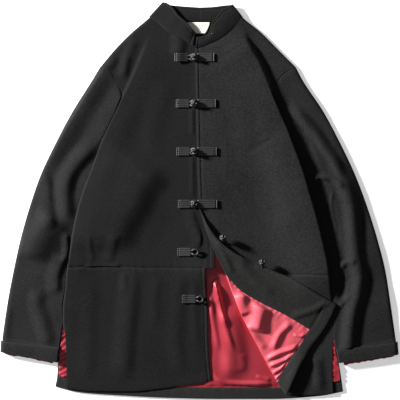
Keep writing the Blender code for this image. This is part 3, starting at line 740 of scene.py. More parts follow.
class Shading:
    """The shared effects, each a node group built once."""

    @staticmethod
    def group(name: str, inputs: Sequence[str], *outputs: str) -> tuple:
        """A new group with named sockets.

        Args:
            name: Its name.
            inputs: The labels of what it is given.
            outputs: The labels of its results.

        Returns:
            A hand for the tree, its given sockets, and its output node.
        """
        tree = bpy.data.node_groups.new(name, "ShaderNodeTree")
        add_sockets(tree, "INPUT", inputs)
        add_sockets(tree, "OUTPUT", outputs)
        graph = Graph(tree)
        return graph, graph.add("NodeGroupInput").outputs, graph.add("NodeGroupOutput")

    @staticmethod
    def ended(graph: Graph, out: bpy.types.Node, *results: bpy.types.NodeSocket) -> bpy.types.NodeTree:
        """A finished group.

        Args:
            graph: The hand for its tree.
            out: Its output node.
            results: What leads to its outputs, in their order.

        Returns:
            The tree.
        """
        for result, socket in zip(results, out.inputs):
            graph.tree.links.new(result, socket)
        return graph.tree

    @staticmethod
    @cache
    def tone() -> bpy.types.NodeTree:
        """Cloth whose colour is a little uneven, broadly and thread by thread.

        Returns:
            The group's tree.
        """
        graph, given, out = Shading.group(
            "cloth_tone", ("Place", "Plain", "Other", "Broad", "Fine", "Share"), "Colour", "Value")
        broad = graph.noise(given["Place"], given["Broad"], 3.0)
        fine = graph.noise(given["Place"], given["Fine"], 2.0)
        both = graph.math("ADD", graph.times(broad, 0.3), graph.times(fine, 0.7))
        sharp = graph.add("ShaderNodeMapRange", {
            "Value": both, "From Min": 0.38, "From Max": 0.62, "To Min": 0.0, "To Max": 1.0}).outputs[0]
        share = graph.times(sharp, given["Share"])
        return Shading.ended(graph, out, graph.blend(share, given["Plain"], given["Other"]), sharp)

    @staticmethod
    @cache
    def weave() -> bpy.types.NodeTree:
        """Threads that cross, with a slanting line where the slant isn't 0.

        Returns:
            The group's tree.
        """
        graph, given, out = Shading.group(
            "thread_weave", ("Place", "Threads", "Slant", "Across"), "Height")
        parts = graph.add("ShaderNodeSeparateXYZ", {0: given["Place"]})
        turns = graph.times(given["Threads"], math.tau)
        u, v = graph.times(parts.outputs[0], turns), graph.times(parts.outputs[1], turns)
        line = graph.math("SINE", graph.math("ADD", u, graph.times(v, given["Slant"])))
        cross = graph.times(graph.math("SINE", v), given["Across"])
        total = graph.math("ADD", graph.times(line, 0.3), graph.times(cross, 0.2))
        return Shading.ended(graph, out, graph.math("ADD", total, 0.5))

    @staticmethod
    @cache
    def nap() -> bpy.types.NodeTree:
        """Short fibres and small slubs, as a height.

        Returns:
            The group's tree.
        """
        graph, given, out = Shading.group("cloth_nap", ("Place", "Fibre", "Slub"), "Height")
        fibre = graph.noise(given["Place"], given["Fibre"], 4.0)
        slub = graph.noise(given["Place"], given["Slub"], 1.0)
        both = graph.math("ADD", graph.times(fibre, 0.5), graph.times(slub, 0.5))
        return Shading.ended(graph, out, both)

    @staticmethod
    @cache
    def rubbing() -> bpy.types.NodeTree:
        """Where an edge is rubbed, uneven along it.

        Returns:
            The group's tree.
        """
        graph, given, out = Shading.group("edge_rubbing", ("Place", "Closeness", "Share"), "Mask")
        some = graph.times(graph.noise(given["Place"], 90.0, 2.0), given["Closeness"])
        return Shading.ended(graph, out, graph.times(some, given["Share"]))


@dataclass(frozen=True)
class Finish:
    """A cloth's or cord's finish. Colours are linear, threads are counted a metre."""

    name: str
    slot: str
    plain: tuple[float, float, float]
    other: tuple[float, float, float]
    rubbed: tuple[float, float, float]
    roughness: tuple[float, float] = (0.8, 0.95)
    share: float = 0.9
    rub: float = 0.4
    broad: float = 9.0
    fine: float = 300.0
    threads: float = 1000.0
    slant: float = 1.0
    across: float = 0.7
    weave_height: float = 0.05
    nap_height: float = 0.08
    fibre: float = 900.0
    slub: float = 160.0
    shader: tuple[tuple[str, object], ...] = ()

    def material(self) -> bpy.types.Material:
        """The finish as a material, built once.

        Returns:
            The material.
        """
        if self.name in bpy.data.materials:
            return bpy.data.materials[self.name]
        made = bpy.data.materials.new(self.name)
        made.use_nodes = True
        graph = Graph(made.node_tree)
        surface = made.node_tree.nodes["Principled BSDF"].inputs
        for socket, value in self.shader:
            surface[socket].default_value = value
        place = graph.add("ShaderNodeTexCoord").outputs["Object"]
        on_cloth = graph.add("ShaderNodeUVMap", uv_map="weave").outputs["UV"]
        border = graph.add("ShaderNodeAttribute", attribute_name="edge").outputs["Fac"]
        tone = graph.effect(Shading.tone(), Place=place, Plain=(*self.plain, 1), Other=(*self.other, 1),
                            Broad=self.broad, Fine=self.fine, Share=self.share)
        rub = graph.effect(Shading.rubbing(), Place=place, Closeness=border, Share=self.rub)
        colour = graph.blend(rub["Mask"], tone["Colour"], (*self.rubbed, 1))
        rough = graph.add("ShaderNodeMapRange", {
            "Value": tone["Value"], "To Min": self.roughness[0], "To Max": self.roughness[1]})
        nap = graph.effect(Shading.nap(), Place=place, Fibre=self.fibre, Slub=self.slub)
        weave = graph.effect(Shading.weave(), Place=on_cloth, Threads=self.threads, Slant=self.slant,
                             Across=self.across)
        threads = graph.add("ShaderNodeBump", {
            "Height": weave["Height"], "Distance": self.weave_height * MM})
        fibres = graph.add("ShaderNodeBump", {
            "Height": nap["Height"], "Distance": self.nap_height * MM, "Normal": threads.outputs[0]})
        graph.tree.links.new(colour, surface["Base Color"])
        graph.tree.links.new(rough.outputs[0], surface["Roughness"])
        graph.tree.links.new(fibres.outputs[0], surface["Normal"])
        return made


WOOL_SHADER = (
    ("Sheen Weight", 0.05), ("Sheen Roughness", 0.5), ("Sheen Tint", (0.62, 0.64, 0.7, 1)),
    ("Specular IOR Level", 0.12),
)
SATIN_SHADER = (
    ("Metallic", 0.3), ("Specular IOR Level", 0.7), ("Specular Tint", (1.0, 0.72, 0.76, 1)),
    ("Anisotropic", 0.35), ("Sheen Weight", 0.12), ("Sheen Roughness", 0.35),
    ("Sheen Tint", (1.0, 0.5, 0.55, 1)),
)

WOOL = Finish("black_wool", "wool", (0.0058, 0.0058, 0.006), (0.0172, 0.0172, 0.0177),
              (0.028, 0.028, 0.029), shader=WOOL_SHADER)
# The same wool painted darker, as shade, for the wearer's right front.
SHADE_PAINTED_WOOL = Finish("black_wool_against_nap", "wool", (0.003, 0.003, 0.0032), (0.0093, 0.0093, 0.0096),
                   (0.0176, 0.0176, 0.0185), shader=WOOL_SHADER)
SLEEVE_WOOL = Finish("sleeve_wool", "wool", (0.0055, 0.0056, 0.0062), (0.0158, 0.0159, 0.0175),
                     (0.0313, 0.0313, 0.034), shader=WOOL_SHADER)
COLLAR_WOOL = Finish("collar_cloth", "collar_wool", (0.0041, 0.0041, 0.0045), (0.0113, 0.0113, 0.0121),
                     (0.026, 0.026, 0.0279), shader=WOOL_SHADER)
FACING_WOOL = Finish("facing_cloth", "facing_wool", (0.0086, 0.0087, 0.0086), (0.0182, 0.0184, 0.0182),
                     (0.0347, 0.0347, 0.0347), shader=WOOL_SHADER)
SATIN = Finish("crimson_satin", "lining", (0.3, 0.024, 0.038), (0.4, 0.038, 0.058),
               (0.42, 0.06, 0.08), roughness=(0.3, 0.42), share=0.5, rub=0.2, broad=14.0,
               fine=900.0, threads=2600.0, slant=0.25, across=0.15, weave_height=0.012,
               nap_height=0.02, fibre=1400.0, slub=60.0, shader=SATIN_SHADER)
# The same satin painted lighter, as light, where it is turned up on the corner.
LIGHT_PAINTED_SATIN = replace(SATIN, name="turned_satin", plain=(0.5824, 0.0739, 0.103),
                       other=(0.8512, 0.1512, 0.196), rubbed=(0.8736, 0.1792, 0.224),
                       roughness=(0.36, 0.48), share=0.6, rub=0.3, broad=16.0)
LABEL_CLOTH = Finish("cream_label", "label", (0.76, 0.72, 0.58), (0.82, 0.78, 0.66),
                     (0.86, 0.83, 0.74), roughness=(0.6, 0.75), threads=1700.0, slant=0.0,
                     across=1.0, nap_height=0.03, shader=(("Specular IOR Level", 0.3),))
CORD = Finish("black_cord", "frog_cord", (0.014, 0.014, 0.016), (0.024, 0.024, 0.028),
              (0.06, 0.06, 0.066), roughness=(0.42, 0.56), share=0.7, rub=0.0, broad=60.0,
              fine=700.0, threads=1400.0, slant=0.0, across=1.0, weave_height=0.0,
              nap_height=0.06, fibre=1500.0, slub=500.0, shader=(("Specular IOR Level", 0.36),))
THREAD = Finish("sewing_thread", "", (0.02, 0.02, 0.022), (0.034, 0.034, 0.038),
                (0.05, 0.05, 0.05), roughness=(0.5, 0.65), rub=0.0, broad=200.0, fine=2500.0,
                weave_height=0.0, nap_height=0.03, fibre=4000.0, slub=1500.0,
                shader=(("Specular IOR Level", 0.4),))


# ---------------------------------------------------------------- the jacket's pieces


@dataclass(frozen=True)
class Heights:
    """Upper faces where the cloth lies plain, and the walls between them."""

    cloth: float = 2.0
    lining: float = 1.0
    facing: float = 1.6
    seam: float = 0.06
    curved_seam: float = 0.7
    back: float = 2.0
    back_lining: float = 3.4
    front: float = 6.6
    lap_rise: float = 2.7
    lap_x: tuple[float, float] = (32.0, 110.0)
    lap_y: tuple[float, float] = (-136.0, -220.0)
    flap: float = 2.6
    skin: float = 0.6
    roll_share: float = 0.018
    roll_foot: float = 2.9
    head_roll: float = 0.02
    crease_foot: float = 4.2
    crease_inset: float = 3.0

    def lap(self, x: np.ndarray, y: np.ndarray) -> np.ndarray:
        """The left front's upper face, raised where it laps the right one.

        Args:
            x, y: Plan points.

        Returns:
            Heights.
        """
        across = np.clip((self.lap_x[1] - x) / (self.lap_x[1] - self.lap_x[0]), 0, 1)
        along = np.clip((y - self.lap_y[1]) / (self.lap_y[0] - self.lap_y[1]), 0, 1)
        return self.front + self.lap_rise * across * along

    def end_turned(self, z: np.ndarray, panel: Panel, side: Sequence[tuple], foot: float) -> np.ndarray:
        """Heights with the end edge turned down.

        Args:
            z: Heights.
            panel: The panel.
            side: Rows of share of length and weight.
            foot: The height on the edge.

        Returns:
            Heights.
        """
        near = (panel.u[None, :] - 1 + self.roll_share) / self.roll_share
        return turned_down(z, near, np.interp(panel.v, *zip(*side))[:, None], foot)

    def rolled(self, z: np.ndarray, panel: Panel, side: Sequence[tuple],
               head: Sequence[tuple] = ()) -> np.ndarray:
        """Heights with the end edge and the head edge turned down.

        Args:
            z: Heights.
            panel: The panel.
            side: Rows of share of length and weight for the end edge.
            head: Rows of share of width and weight for the head edge.

        Returns:
            Heights.
        """
        z = self.end_turned(z, panel, side, self.roll_foot)
        if head:
            near = 1 - panel.v[:, None] / self.head_roll
            z = turned_down(z, near, np.interp(panel.u, *zip(*head))[None, :], self.roll_foot)
        return z

    def side_steps(self) -> list[float]:
        """Shares at which the end edge's turn needs points."""
        return [1 - self.roll_share * (1 - k) for k in ROLL_STEPS]

    def head_steps(self) -> list[float]:
        """Shares at which the head edge's turn needs points."""
        return [self.head_roll * (1 - k) for k in ROLL_STEPS]


@dataclass(frozen=True)
class BodyOutline:
    """Plan edges that the fronts, the back and the sleeves share."""

    shoulder_right: Points = ((-100, 366), (-136, 336), (-168, 304), (-200, 266))
    armhole_right: Points = ((-200, 266), (-188, 261), (-175, 250), (-164, 232), (-158, 208))
    side_right: Points = (
        (-158, 208), (-176, 166), (-198, 119), (-218, 64), (-240, 6), (-254, -50), (-262, -100),
        (-268, -136))
    skirt_right: Points = ((-268, -136), (-272, -180), (-277, -215), (-276, -245))
    back_slit_right: Points = ((-276, -245), (-279, -275), (-284, -310), (-286, -350), (-290, -374))
    front_slit_right: Points = ((-276, -245), (-270, -270), (-268, -300), (-267, -340), (-266, -378))
    shoulder_left: Points = ((84, 366), (122, 336), (154, 304), (176, 282), (192, 266))
    armhole_left: Points = ((192, 266), (180, 262), (167, 254), (154, 238), (144, 214))
    side_left: Points = (
        (144, 214), (166, 164), (186, 116), (204, 68), (224, 4), (244, -70), (256, -124),
        (260, -149))
    skirt_left: Points = ((260, -149), (263, -185), (268, -214), (270, -242), (268, -272))
    back_slit_left: Points = ((268, -272), (273, -302), (280, -336), (287, -384))
    front_slit_left: Points = ((268, -272), (264, -295), (263, -330), (266, -388))
    hem_back: Points = (
        (-290, -374), (-240, -386), (-160, -392), (-60, -397), (40, -399), (140, -399), (240, -393),
        (287, -384))
    neck_back: Points = ((-100, 366), (-50, 361), (40, 361), (84, 366))
    crease_upper: Points = ((-2, -18), (16, -72), (40, -126), (52, -149))
    crease_lower: Points = ((52, -149), (80, -224), (118, -298), (154, -364), (172, -391))
    edge_right_lower: Points = (
        (10, -136), (12, -180), (15, -220), (16, -280), (18, -320), (22, -360))
    flap_front: Points = (
        (0, -18), (16, -52), (40, -83), (80, -112), (130, -133), (184, -158), (240, -191),
        (272, -209))


# Rolled edges in use: share of the edge's length, then how far it is turned down there.
ARMHOLE_THEN_SIDE = ((0.0, 0.0), (0.17, 0.0), (0.23, 1.0), (1.0, 1.0))
SIDE_THEN_SLIT = ((0.0, 1.0), (0.38, 1.0), (0.5, 0.0), (1.0, 0.0))
NECK_THEN_SHOULDER = ((0.0, 0.0), (0.5, 0.0), (0.56, 1.0), (1.0, 1.0))


@dataclass
class BodyPart:
    """A part of the jacket's body, with what it shares with the others."""

    wardrobe: Wardrobe
    outline: BodyOutline
    heights: Heights


@dataclass
class Back(BodyPart):
    """The back, its lining in the opening and at the slits, and its turned-up hem."""

    step: float = 9.0
    lining_step: float = 2.9
    lining_inset: float = 1.2
    breaks: tuple[float, ...] = (0.16, 0.24, 0.66)
    slit_right: float = 0.82
    slit_left: float = 0.86
    shown_from: float = 11.0
    gathered_from: float = 16.0
    middle: float = 2.0
    slit_reach: float = 262.0
    slit_top: float = -250.0
    lining_side_right: Points = ((-258, -74), (-262, -100), (-272, -180), (-276, -245))
    lining_side_left: Points = ((244, -72), (256, -124), (263, -185), (268, -272))
    folds_end: float = -374.0
    folds: Sequence[tuple] = (
        (2.8, 9, 9, ((28, -154), (32, -174), (36, -192), (40, -208))),
        (3.2, 9, 9, ((28, -156), (34, -182), (41, -210), (48, -238), (54, -258))),
        (2.8, 8, 10, ((28, -158), (34, -182), (41, -212), (50, -246), (61, -284), (71, -308))),
        (2.8, 8, 8, ((20, -186), (24, -222), (31, -264), (38, -306))),
        (5.6, 42, 25, ((46, -214), (55, -262), (61, -312), (60, -366))),
        (0.8, 20, 12, ((66, -236), (80, -296), (96, -350))),
        (0.9, 12, 14, ((84, -306), (86, -326), (82, -346))),
        (3.4, 9, 8, ((24, -342), (34, -358), (56, -367), (100, -369), (150, -366))),
        (2.2, 6, 6, ((112, -352), (128, -358), (142, -360))),
    )

    def panel(self) -> None:
        """The back itself, flat on the surface."""
        o, shoulder, armhole, side = self.outline, *self.breaks
        right = edge((shoulder, o.shoulder_right), (armhole, o.armhole_right), (side, o.side_right),
                     (self.slit_right, o.skirt_right), (1.0, o.back_slit_right))
        left = edge((shoulder, o.shoulder_left), (armhole, o.armhole_left), (side, o.side_left),
                    (self.slit_left, o.skirt_left), (1.0, o.back_slit_left))
        u = spread(570, self.step, SEAM_NEAR, SEAM_NEAR)
        v = spread(770, self.step, SEAM_NEAR, SEAM_NEAR,
                   (*self.breaks, self.slit_right, self.slit_left))
        p = Panel(right, left, edge((1, o.neck_back)), edge((1, o.hem_back)), u, v)
        place = p.raised(np.full(p.x.shape, self.heights.back))
        self.wardrobe.sheet("back", Cloth("back_panel", place, self.heights.cloth), WOOL, "floor")

    def lining_end(self, side: Points, slit: Points, corner: np.ndarray, way: int) -> Line:
        """One end of the lining, down the side and then along the slit.

        Args:
            side: The line beside the body's side.
            slit: The back's edge at the slit.
            corner: The end of the lining's foot.
            way: 1 on the wearer's right, where inwards is towards +X, and -1 on the left.

        Returns:
            The edge.
        """
        by = way * self.lining_inset
        return edge((0.5, inset_line(side, by)), (1.0, [*inset_line(slit[:3], by), corner + (by, 0)]))

    def lining(self) -> None:
        """The satin, with its folds where it shows in the opening."""
        o, h = self.outline, self.heights
        foot = inset_line(o.hem_back, HEM_DEPTH + h.curved_seam)
        start = self.lining_end(self.lining_side_right, o.back_slit_right, foot[0], 1)
        end = self.lining_end(self.lining_side_left, o.back_slit_left, foot[-1], -1)
        bottom = straight(start([1])[0], *foot[3:-3], end([1])[0])
        u, v = spread(540, self.lining_step), spread(300, self.lining_step, (), SEAM_NEAR, (0.5,))
        p = Panel(start, end, joined(start, end, 0), bottom, u, v)
        x, y = p.x, p.y
        shown = clear_of(x, y, o.edge_right_lower, 6) * clear_of(x, y, o.crease_lower, 10)
        shown = shown * (x > self.shown_from) * smooth_step((y - self.folds_end) / 5)
        soft = undulation(x, y, wave=26, height=0.7, seed=5) + 0.8
        to_foot = p.off(Side.FOOT)
        at_foot = puckers(to_foot, x, height=0.5, seed=8) * smooth_step(to_foot / 3)
        z = h.back_lining + (folds_at(x, y, self.folds) + soft) * shown
        z = z + at_foot * (x > self.gathered_from) + self.at_slits(x, y)
        cloth = Cloth("back_lining_satin", p.raised(z), h.lining, rounding=0.25)
        self.wardrobe.sheet("back_lining", cloth, SATIN, "back_panel")

    def at_slits(self, x: np.ndarray, y: np.ndarray) -> np.ndarray:
        """How the satin gathers where it shows in the side slits.

        Args:
            x, y: Plan points.

        Returns:
            What it adds to the height.
        """
        shown = smooth_step((np.abs(x - self.middle) - self.slit_reach) / 6)
        shown = shown * smooth_step((self.slit_top - y) / 20)
        gathers = np.sin((y + 0.6 * np.abs(x)) / 1.8 + 1.4 * np.sin(y / 7))
        return shown * (1.1 + 0.75 * gathers + undulation(x, y, wave=9, height=0.5, seed=21))

    def hem(self) -> None:
        """The hem, turned up inside."""
        h = self.heights
        lower = inset_line(self.outline.hem_back, h.seam)
        upper = inset_line(self.outline.hem_back, HEM_DEPTH)
        ends = [straight(upper[k], lower[k]) for k in (0, -1)]
        u, v = spread(580, 4.0), spread(HEM_DEPTH, 2.2, (0.7, 1.5), (0.7, 1.5))
        p = Panel(*ends, edge((1, upper)), edge((1, lower)), u, v)
        z = h.back + h.seam + h.facing + puckers(p.off(Side.HEAD), p.x, height=0.2, seed=12)
        z = z + seam_dip(p.off(Side.FOOT), depth=0.5, reach=2.0)
        cloth = Cloth("back_hem_turning", p.raised(z), h.facing)
        self.wardrobe.sheet("back_hem", cloth, FACING_WOOL, "back_panel", Hold.FOLDED)

    def build(self) -> None:
        """Builds the three layers."""
        self.panel()
        self.lining()
        self.hem()


@dataclass
class RightFront(BodyPart):
    """The wearer's right front, above and below the waist seam, and its underlap."""

    step: float = 3.8
    form: EdgeForm = EdgeForm(stitch=5.5)
    neck: Points = ((9, 302), (-12, 309), (-50, 328), (-84, 355), (-100, 366))
    centre: Points = ((9, 302), (9, 150), (9, 0), (9, -136))
    waist: Points = ((9, -136), (-100, -136), (-200, -132), (-268, -136))
    hem: Points = (
        (22, -360), (0, -368), (-36, -372), (-82, -378), (-140, -383), (-208, -383), (-266, -378))
    pocket: tuple[float, float, float] = (-232.0, -158.0, -133.5)
    folds_end: float = -9.0
    folds_wider: tuple[float, ...] = (17.0, -18.0, 16.0)
    underlap_line: float = 20.0
    underlap_box: tuple[float, ...] = (9.08, 29.0, 300.0, -136.0)
    opening: tuple = ((12.0, 50.0), (-145.0, 33.0), 9.4)
    crest: Sequence[tuple] = (
        (2.6, 70, 7, ((-96, 334), (-112, 296), (-136, 240), (-155, 200), (-172, 164), (-192, 120),
            (-208, 78))),
        (3.0, 70, 7, ((-188, 130), (-213, 64), (-234, 8), (-249, -50), (-257, -100), (-263, -136),
            (-267, -180), (-271, -220), (-268, -290))),
    )
    folds: Sequence[tuple] = (
        (9.0, 56, 130, ((-84, 84), (-102, 56), (-122, 32), (-141, -10), (-160, -42), (-170, -77),
            (-172, -112))),
        (1.2, 34, 30, ((-64, 250), (-92, 150), (-100, 70))),
        (1.5, 14, 20, ((-168, -66), (-174, -92), (-184, -128))),
        (1.1, 6, 12, ((-221, -66), (-219, -92), (-212, -128))),
        (2.0, 8, 22, ((-20, -14), (-12, -40), (-4, -62), (0, -78), (-10, -104))),
        (2.0, 18, 16, ((-128, 330), (-142, 296), (-150, 268), (-156, 236))),
        (1.0, 11, 14, ((-144, 292), (-149, 270), (-151, 246))),
        (2.4, 16, 12, ((-168, 291), (-176, 278), (-188, 262), (-202, 242))),
        (1.5, 4, 10, ((-14, 190), (-13, 150), (-12.5, 126))),
        (1.5, 4, 10, ((-13, 94), (-12, 50), (-12, 0))),
        (3.2, 19, 22, ((-46, 338), (-40, 312), (-48, 284))),
        (0.8, 30, 30, ((-130, 200), (-176, 90), (-196, 20))),
    )
    folds_lower: Sequence[tuple] = (
        (2.8, 24, 34, ((-134, -130), (-138, -190), (-146, -280), (-152, -372))),
        (1.4, 20, 26, ((-38, -130), (-42, -190), (-46, -270), (-38, -362))),
        (1.0, 24, 26, ((-214, -146), (-222, -240), (-226, -370))),
        (0.8, 14, 18, ((-84, -150), (-90, -200), (-90, -260))),
        (1.2, 10, 12, ((-150, -142), (-152, -164), (-150, -186))),
        (0.8, 10, 14, ((-8, -150), (-10, -210), (-6, -300))),
    )

    def relief(self, panel: Panel, folds: Sequence[tuple], seed: int) -> np.ndarray:
        """The crest along the side, the folds and the cloth's own unevenness.

        Args:
            panel: The panel.
            folds: Its folds.
            seed: What fixes the unevenness.

        Returns:
            What they add to the height.
        """
        x, y = panel.x, panel.y
        rise, top, reach = self.folds_wider
        inner = smooth_step((self.folds_end + rise * smooth_step((top - y) / reach) - x) / 7)
        soft = worn(x, y, (60, 0.45), fine=19, seed=seed)
        return folds_at(x, y, self.crest) + (folds_at(x, y, folds) + soft) * inner

    def beside_opening(self, panel: Panel) -> np.ndarray:
        """How the cloth stands off the lining where the fronts part."""
        (x, across), (y, along), lift = self.opening
        return lift * bell(panel.x - x, across) * bell(panel.y - y, along)

    def at_pocket(self, panel: Panel, lift: float) -> np.ndarray:
        """How the cloth lifts or sinks at the pocket mouth in the waist seam.

        Args:
            panel: The panel.
            lift: How far it lifts, or sinks where it is under 0.

        Returns:
            What it adds to the height.
        """
        start, end, level = self.pocket
        along = smooth_step((panel.x - start) / 8) * smooth_step((end - panel.x) / 8)
        return lift * along * bell(panel.y - level, 4.5)

    def upper(self) -> None:
        """The front above the waist seam."""
        o, h = self.outline, self.heights
        end = edge((0.2, o.armhole_right), (1.0, o.side_right))
        head = edge((0.5, self.neck), (1.0, o.shoulder_right))
        u = spread(277, self.step, self.form.near(), (), (0.5, *h.side_steps()))
        v = spread(505, self.step, (), SEAM_NEAR, (0.2, *h.head_steps()))
        p = Panel(edge((1, self.centre)), end, head, edge((1, self.waist)), u, v)
        to_waist = p.off(Side.FOOT)
        z = h.front + self.relief(p, self.folds, 31)
        z = z + seam_dip(to_waist, depth=1.1) + puckers(to_waist, p.x, height=0.22, seed=4)
        z = z + self.at_pocket(p, 1.6) + self.beside_opening(p)
        z = h.rolled(z, p, ARMHOLE_THEN_SIDE, NECK_THEN_SHOULDER)
        cloth = Cloth("front_right_upper_panel", p.raised(z), h.cloth)
        # The right front's wool is painted darker, as shade.
        self.wardrobe.sheet("front_right_upper", cloth, SHADE_PAINTED_WOOL, "back_panel")

    def lower(self) -> None:
        """The front below the waist seam, free of the back at the side slit."""
        o, h = self.outline, self.heights
        start = edge((1, lowered(o.edge_right_lower, h.seam)))
        end = edge((0.42, lowered(o.skirt_right, h.seam)), (1.0, o.front_slit_right))
        u = spread(280, self.step, self.form.near(), SEAM_NEAR, h.side_steps())
        v = spread(242, self.step, SEAM_NEAR, SEAM_NEAR, (0.42,))
        p = Panel(start, end, edge((1, lowered(self.waist, h.seam))), edge((1, self.hem)), u, v)
        to_waist = p.off(Side.HEAD)
        z = h.front + self.relief(p, self.folds_lower, 37) + self.form.heights(p.off(Side.START))
        z = z + seam_dip(to_waist, depth=1.0) + puckers(to_waist, p.x, height=0.25, seed=6)
        z = z + hem_line(p.off(Side.FOOT))
        z = z + self.at_pocket(p, -1.2) + self.beside_opening(p)
        z = h.rolled(z, p, SIDE_THEN_SLIT)
        cloth = Cloth("front_right_lower_panel", p.raised(z), h.cloth)
        # The right front's wool is painted darker, as shade.
        self.wardrobe.sheet("front_right_lower", cloth, SHADE_PAINTED_WOOL, "back_lining_satin")

    def underlap(self) -> None:
        """The strip inside the front edge, under the frogs."""
        h = self.heights
        near, far, head, foot = self.underlap_box
        sides = [straight((x, head), (x, foot)) for x in (near, far)]
        ends = [straight((near, y), (far, y)) for y in (head, foot)]
        u, v = spread(20, 3.0, SEAM_NEAR, (0.8, 2.0)), spread(436, 6.0, (), (0.8, 2.0))
        p = Panel(*sides, *ends, u, v)
        z = h.front - 0.5 * bell(p.x - self.underlap_line, 1.2)
        z = z + seam_dip(p.off(Side.END), depth=0.3, reach=1.6) + self.beside_opening(p)
        # The underlap's wool is painted darker, as shade.
        self.wardrobe.sheet("underlap", Cloth("underlap_strip", p.raised(z), h.cloth), SHADE_PAINTED_WOOL,
                            "back_panel")

    def build(self) -> None:
        """Builds the three pieces."""
        self.upper()
        self.lower()
        self.underlap()


@dataclass
class LeftFront(BodyPart):
    """The wearer's left front, which laps the right one down to the crease."""

    step: float = 3.8
    form: EdgeForm = EdgeForm(stitch=7.5)
    neck: Points = ((-10, 303), (30, 316), (62, 338), (84, 366))
    centre: Points = ((-10, 303), (-8, 200), (-5, 60), (-2, -18))
    waist: Points = ((54, -149), (160, -149), (260, -149))
    hem: Points = ((172, -391), (220, -391), (266, -388))
    crest: Sequence[tuple] = (
        (8.8, 12, 110, ((80, 348), (90, 320), (104, 296), (116, 276), (125, 256), (135, 232),
            (141, 214), (152, 188), (162, 164), (174, 140), (182, 116), (192, 90))),
        (12.0, 12, 112, ((162, 150), (172, 138), (182, 116), (192, 90), (200, 68), (208, 46),
            (214, 24), (220, 4), (228, -20), (234, -40), (240, -70), (246, -96), (252, -124),
            (255, -150), (258, -180), (262, -218))),
    )
    folds: Sequence[tuple] = (
        (0.9, 34, 34, ((58, 260), (84, 150), (96, 40))),
        (0.9, 30, 30, ((150, 120), (168, 20), (180, -70))),
        (0.5, 22, 26, ((40, 230), (52, 120), (60, 20))),
    )
    folds_lower: Sequence[tuple] = ((2.6, 18, 18, ((232, -310), (236, -344), (240, -386))),)

    def above_flap(self, x: np.ndarray, y: np.ndarray) -> np.ndarray:
        """0 where the turned-back corner lies on the front, and 1 well above it."""
        return smooth_step((y - np.interp(x, *zip(*self.outline.flap_front)) - 6) / 24)

    def crest_at(self, x: np.ndarray, y: np.ndarray) -> np.ndarray:
        """How far the crest along the side lifts the front, and the corner that lies on it."""
        return folds_at(x, y, self.crest) * smooth_step((x + 4) / 30)

    def upper(self) -> None:
        """The front above the waist seam."""
        o, h = self.outline, self.heights
        under = inset_line(o.crease_upper, h.crease_inset)
        start = edge((0.7, self.centre), (1.0, [o.crease_upper[0], *under[5:]]))
        end = edge((0.2, o.armhole_left), (1.0, o.side_left))
        head = edge((0.5, self.neck), (1.0, o.shoulder_left))
        foot = straight(start([1])[0], *self.waist[1:])
        u = spread(268, self.step, self.form.near(), (), (0.5, *h.side_steps()))
        v = spread(517, self.step, (), SEAM_NEAR, (0.2, 0.7, *h.head_steps()))
        p = Panel(start, end, head, foot, u, v)
        x, y = p.x, p.y
        soft = worn(x, y, (64, 0.4), fine=20, seed=41)
        inner = smooth_step((x - 26) / 20) * self.above_flap(x, y)
        z = h.lap(x, y) + (folds_at(x, y, self.folds) + soft) * inner + self.crest_at(x, y)
        z = z + self.form.heights(p.off(Side.START)) * smooth_step((y + 10) / 20)
        z = z + seam_dip(p.off(Side.FOOT), depth=1.0)
        z = h.rolled(z, p, ARMHOLE_THEN_SIDE, NECK_THEN_SHOULDER)
        cloth = Cloth("front_left_upper_panel", p.raised(z), h.cloth)
        self.wardrobe.sheet("front_left_upper", cloth, WOOL, "front_right_upper_panel")

    def lower(self) -> None:
        """The front below the waist seam, mostly under the turned-back corner."""
        o, h = self.outline, self.heights
        start = edge((1, lowered(inset_line(o.crease_lower, h.crease_inset), h.seam)))
        end = edge((0.5, lowered(o.skirt_left, h.seam)), (1.0, o.front_slit_left))
        head = straight(start([0])[0], *lowered(self.waist[1:], h.seam))
        foot = straight(start([1])[0], *self.hem[1:])
        u = spread(210, self.step, (), SEAM_NEAR, h.side_steps())
        v = spread(240, self.step, SEAM_NEAR, SEAM_NEAR, (0.5,))
        p = Panel(start, end, head, foot, u, v)
        z = h.lap(p.x, p.y) + folds_at(p.x, p.y, self.folds_lower) + self.crest_at(p.x, p.y)
        z = z + seam_dip(p.off(Side.HEAD), depth=1.0) + hem_line(p.off(Side.FOOT))
        z = h.rolled(z, p, SIDE_THEN_SLIT)
        cloth = Cloth("front_left_lower_panel", p.raised(z), h.cloth)
        self.wardrobe.sheet("front_left_lower", cloth, WOOL, "back_lining_satin")

    def build(self) -> None:
        """Builds both panels."""
        self.upper()
        self.lower()


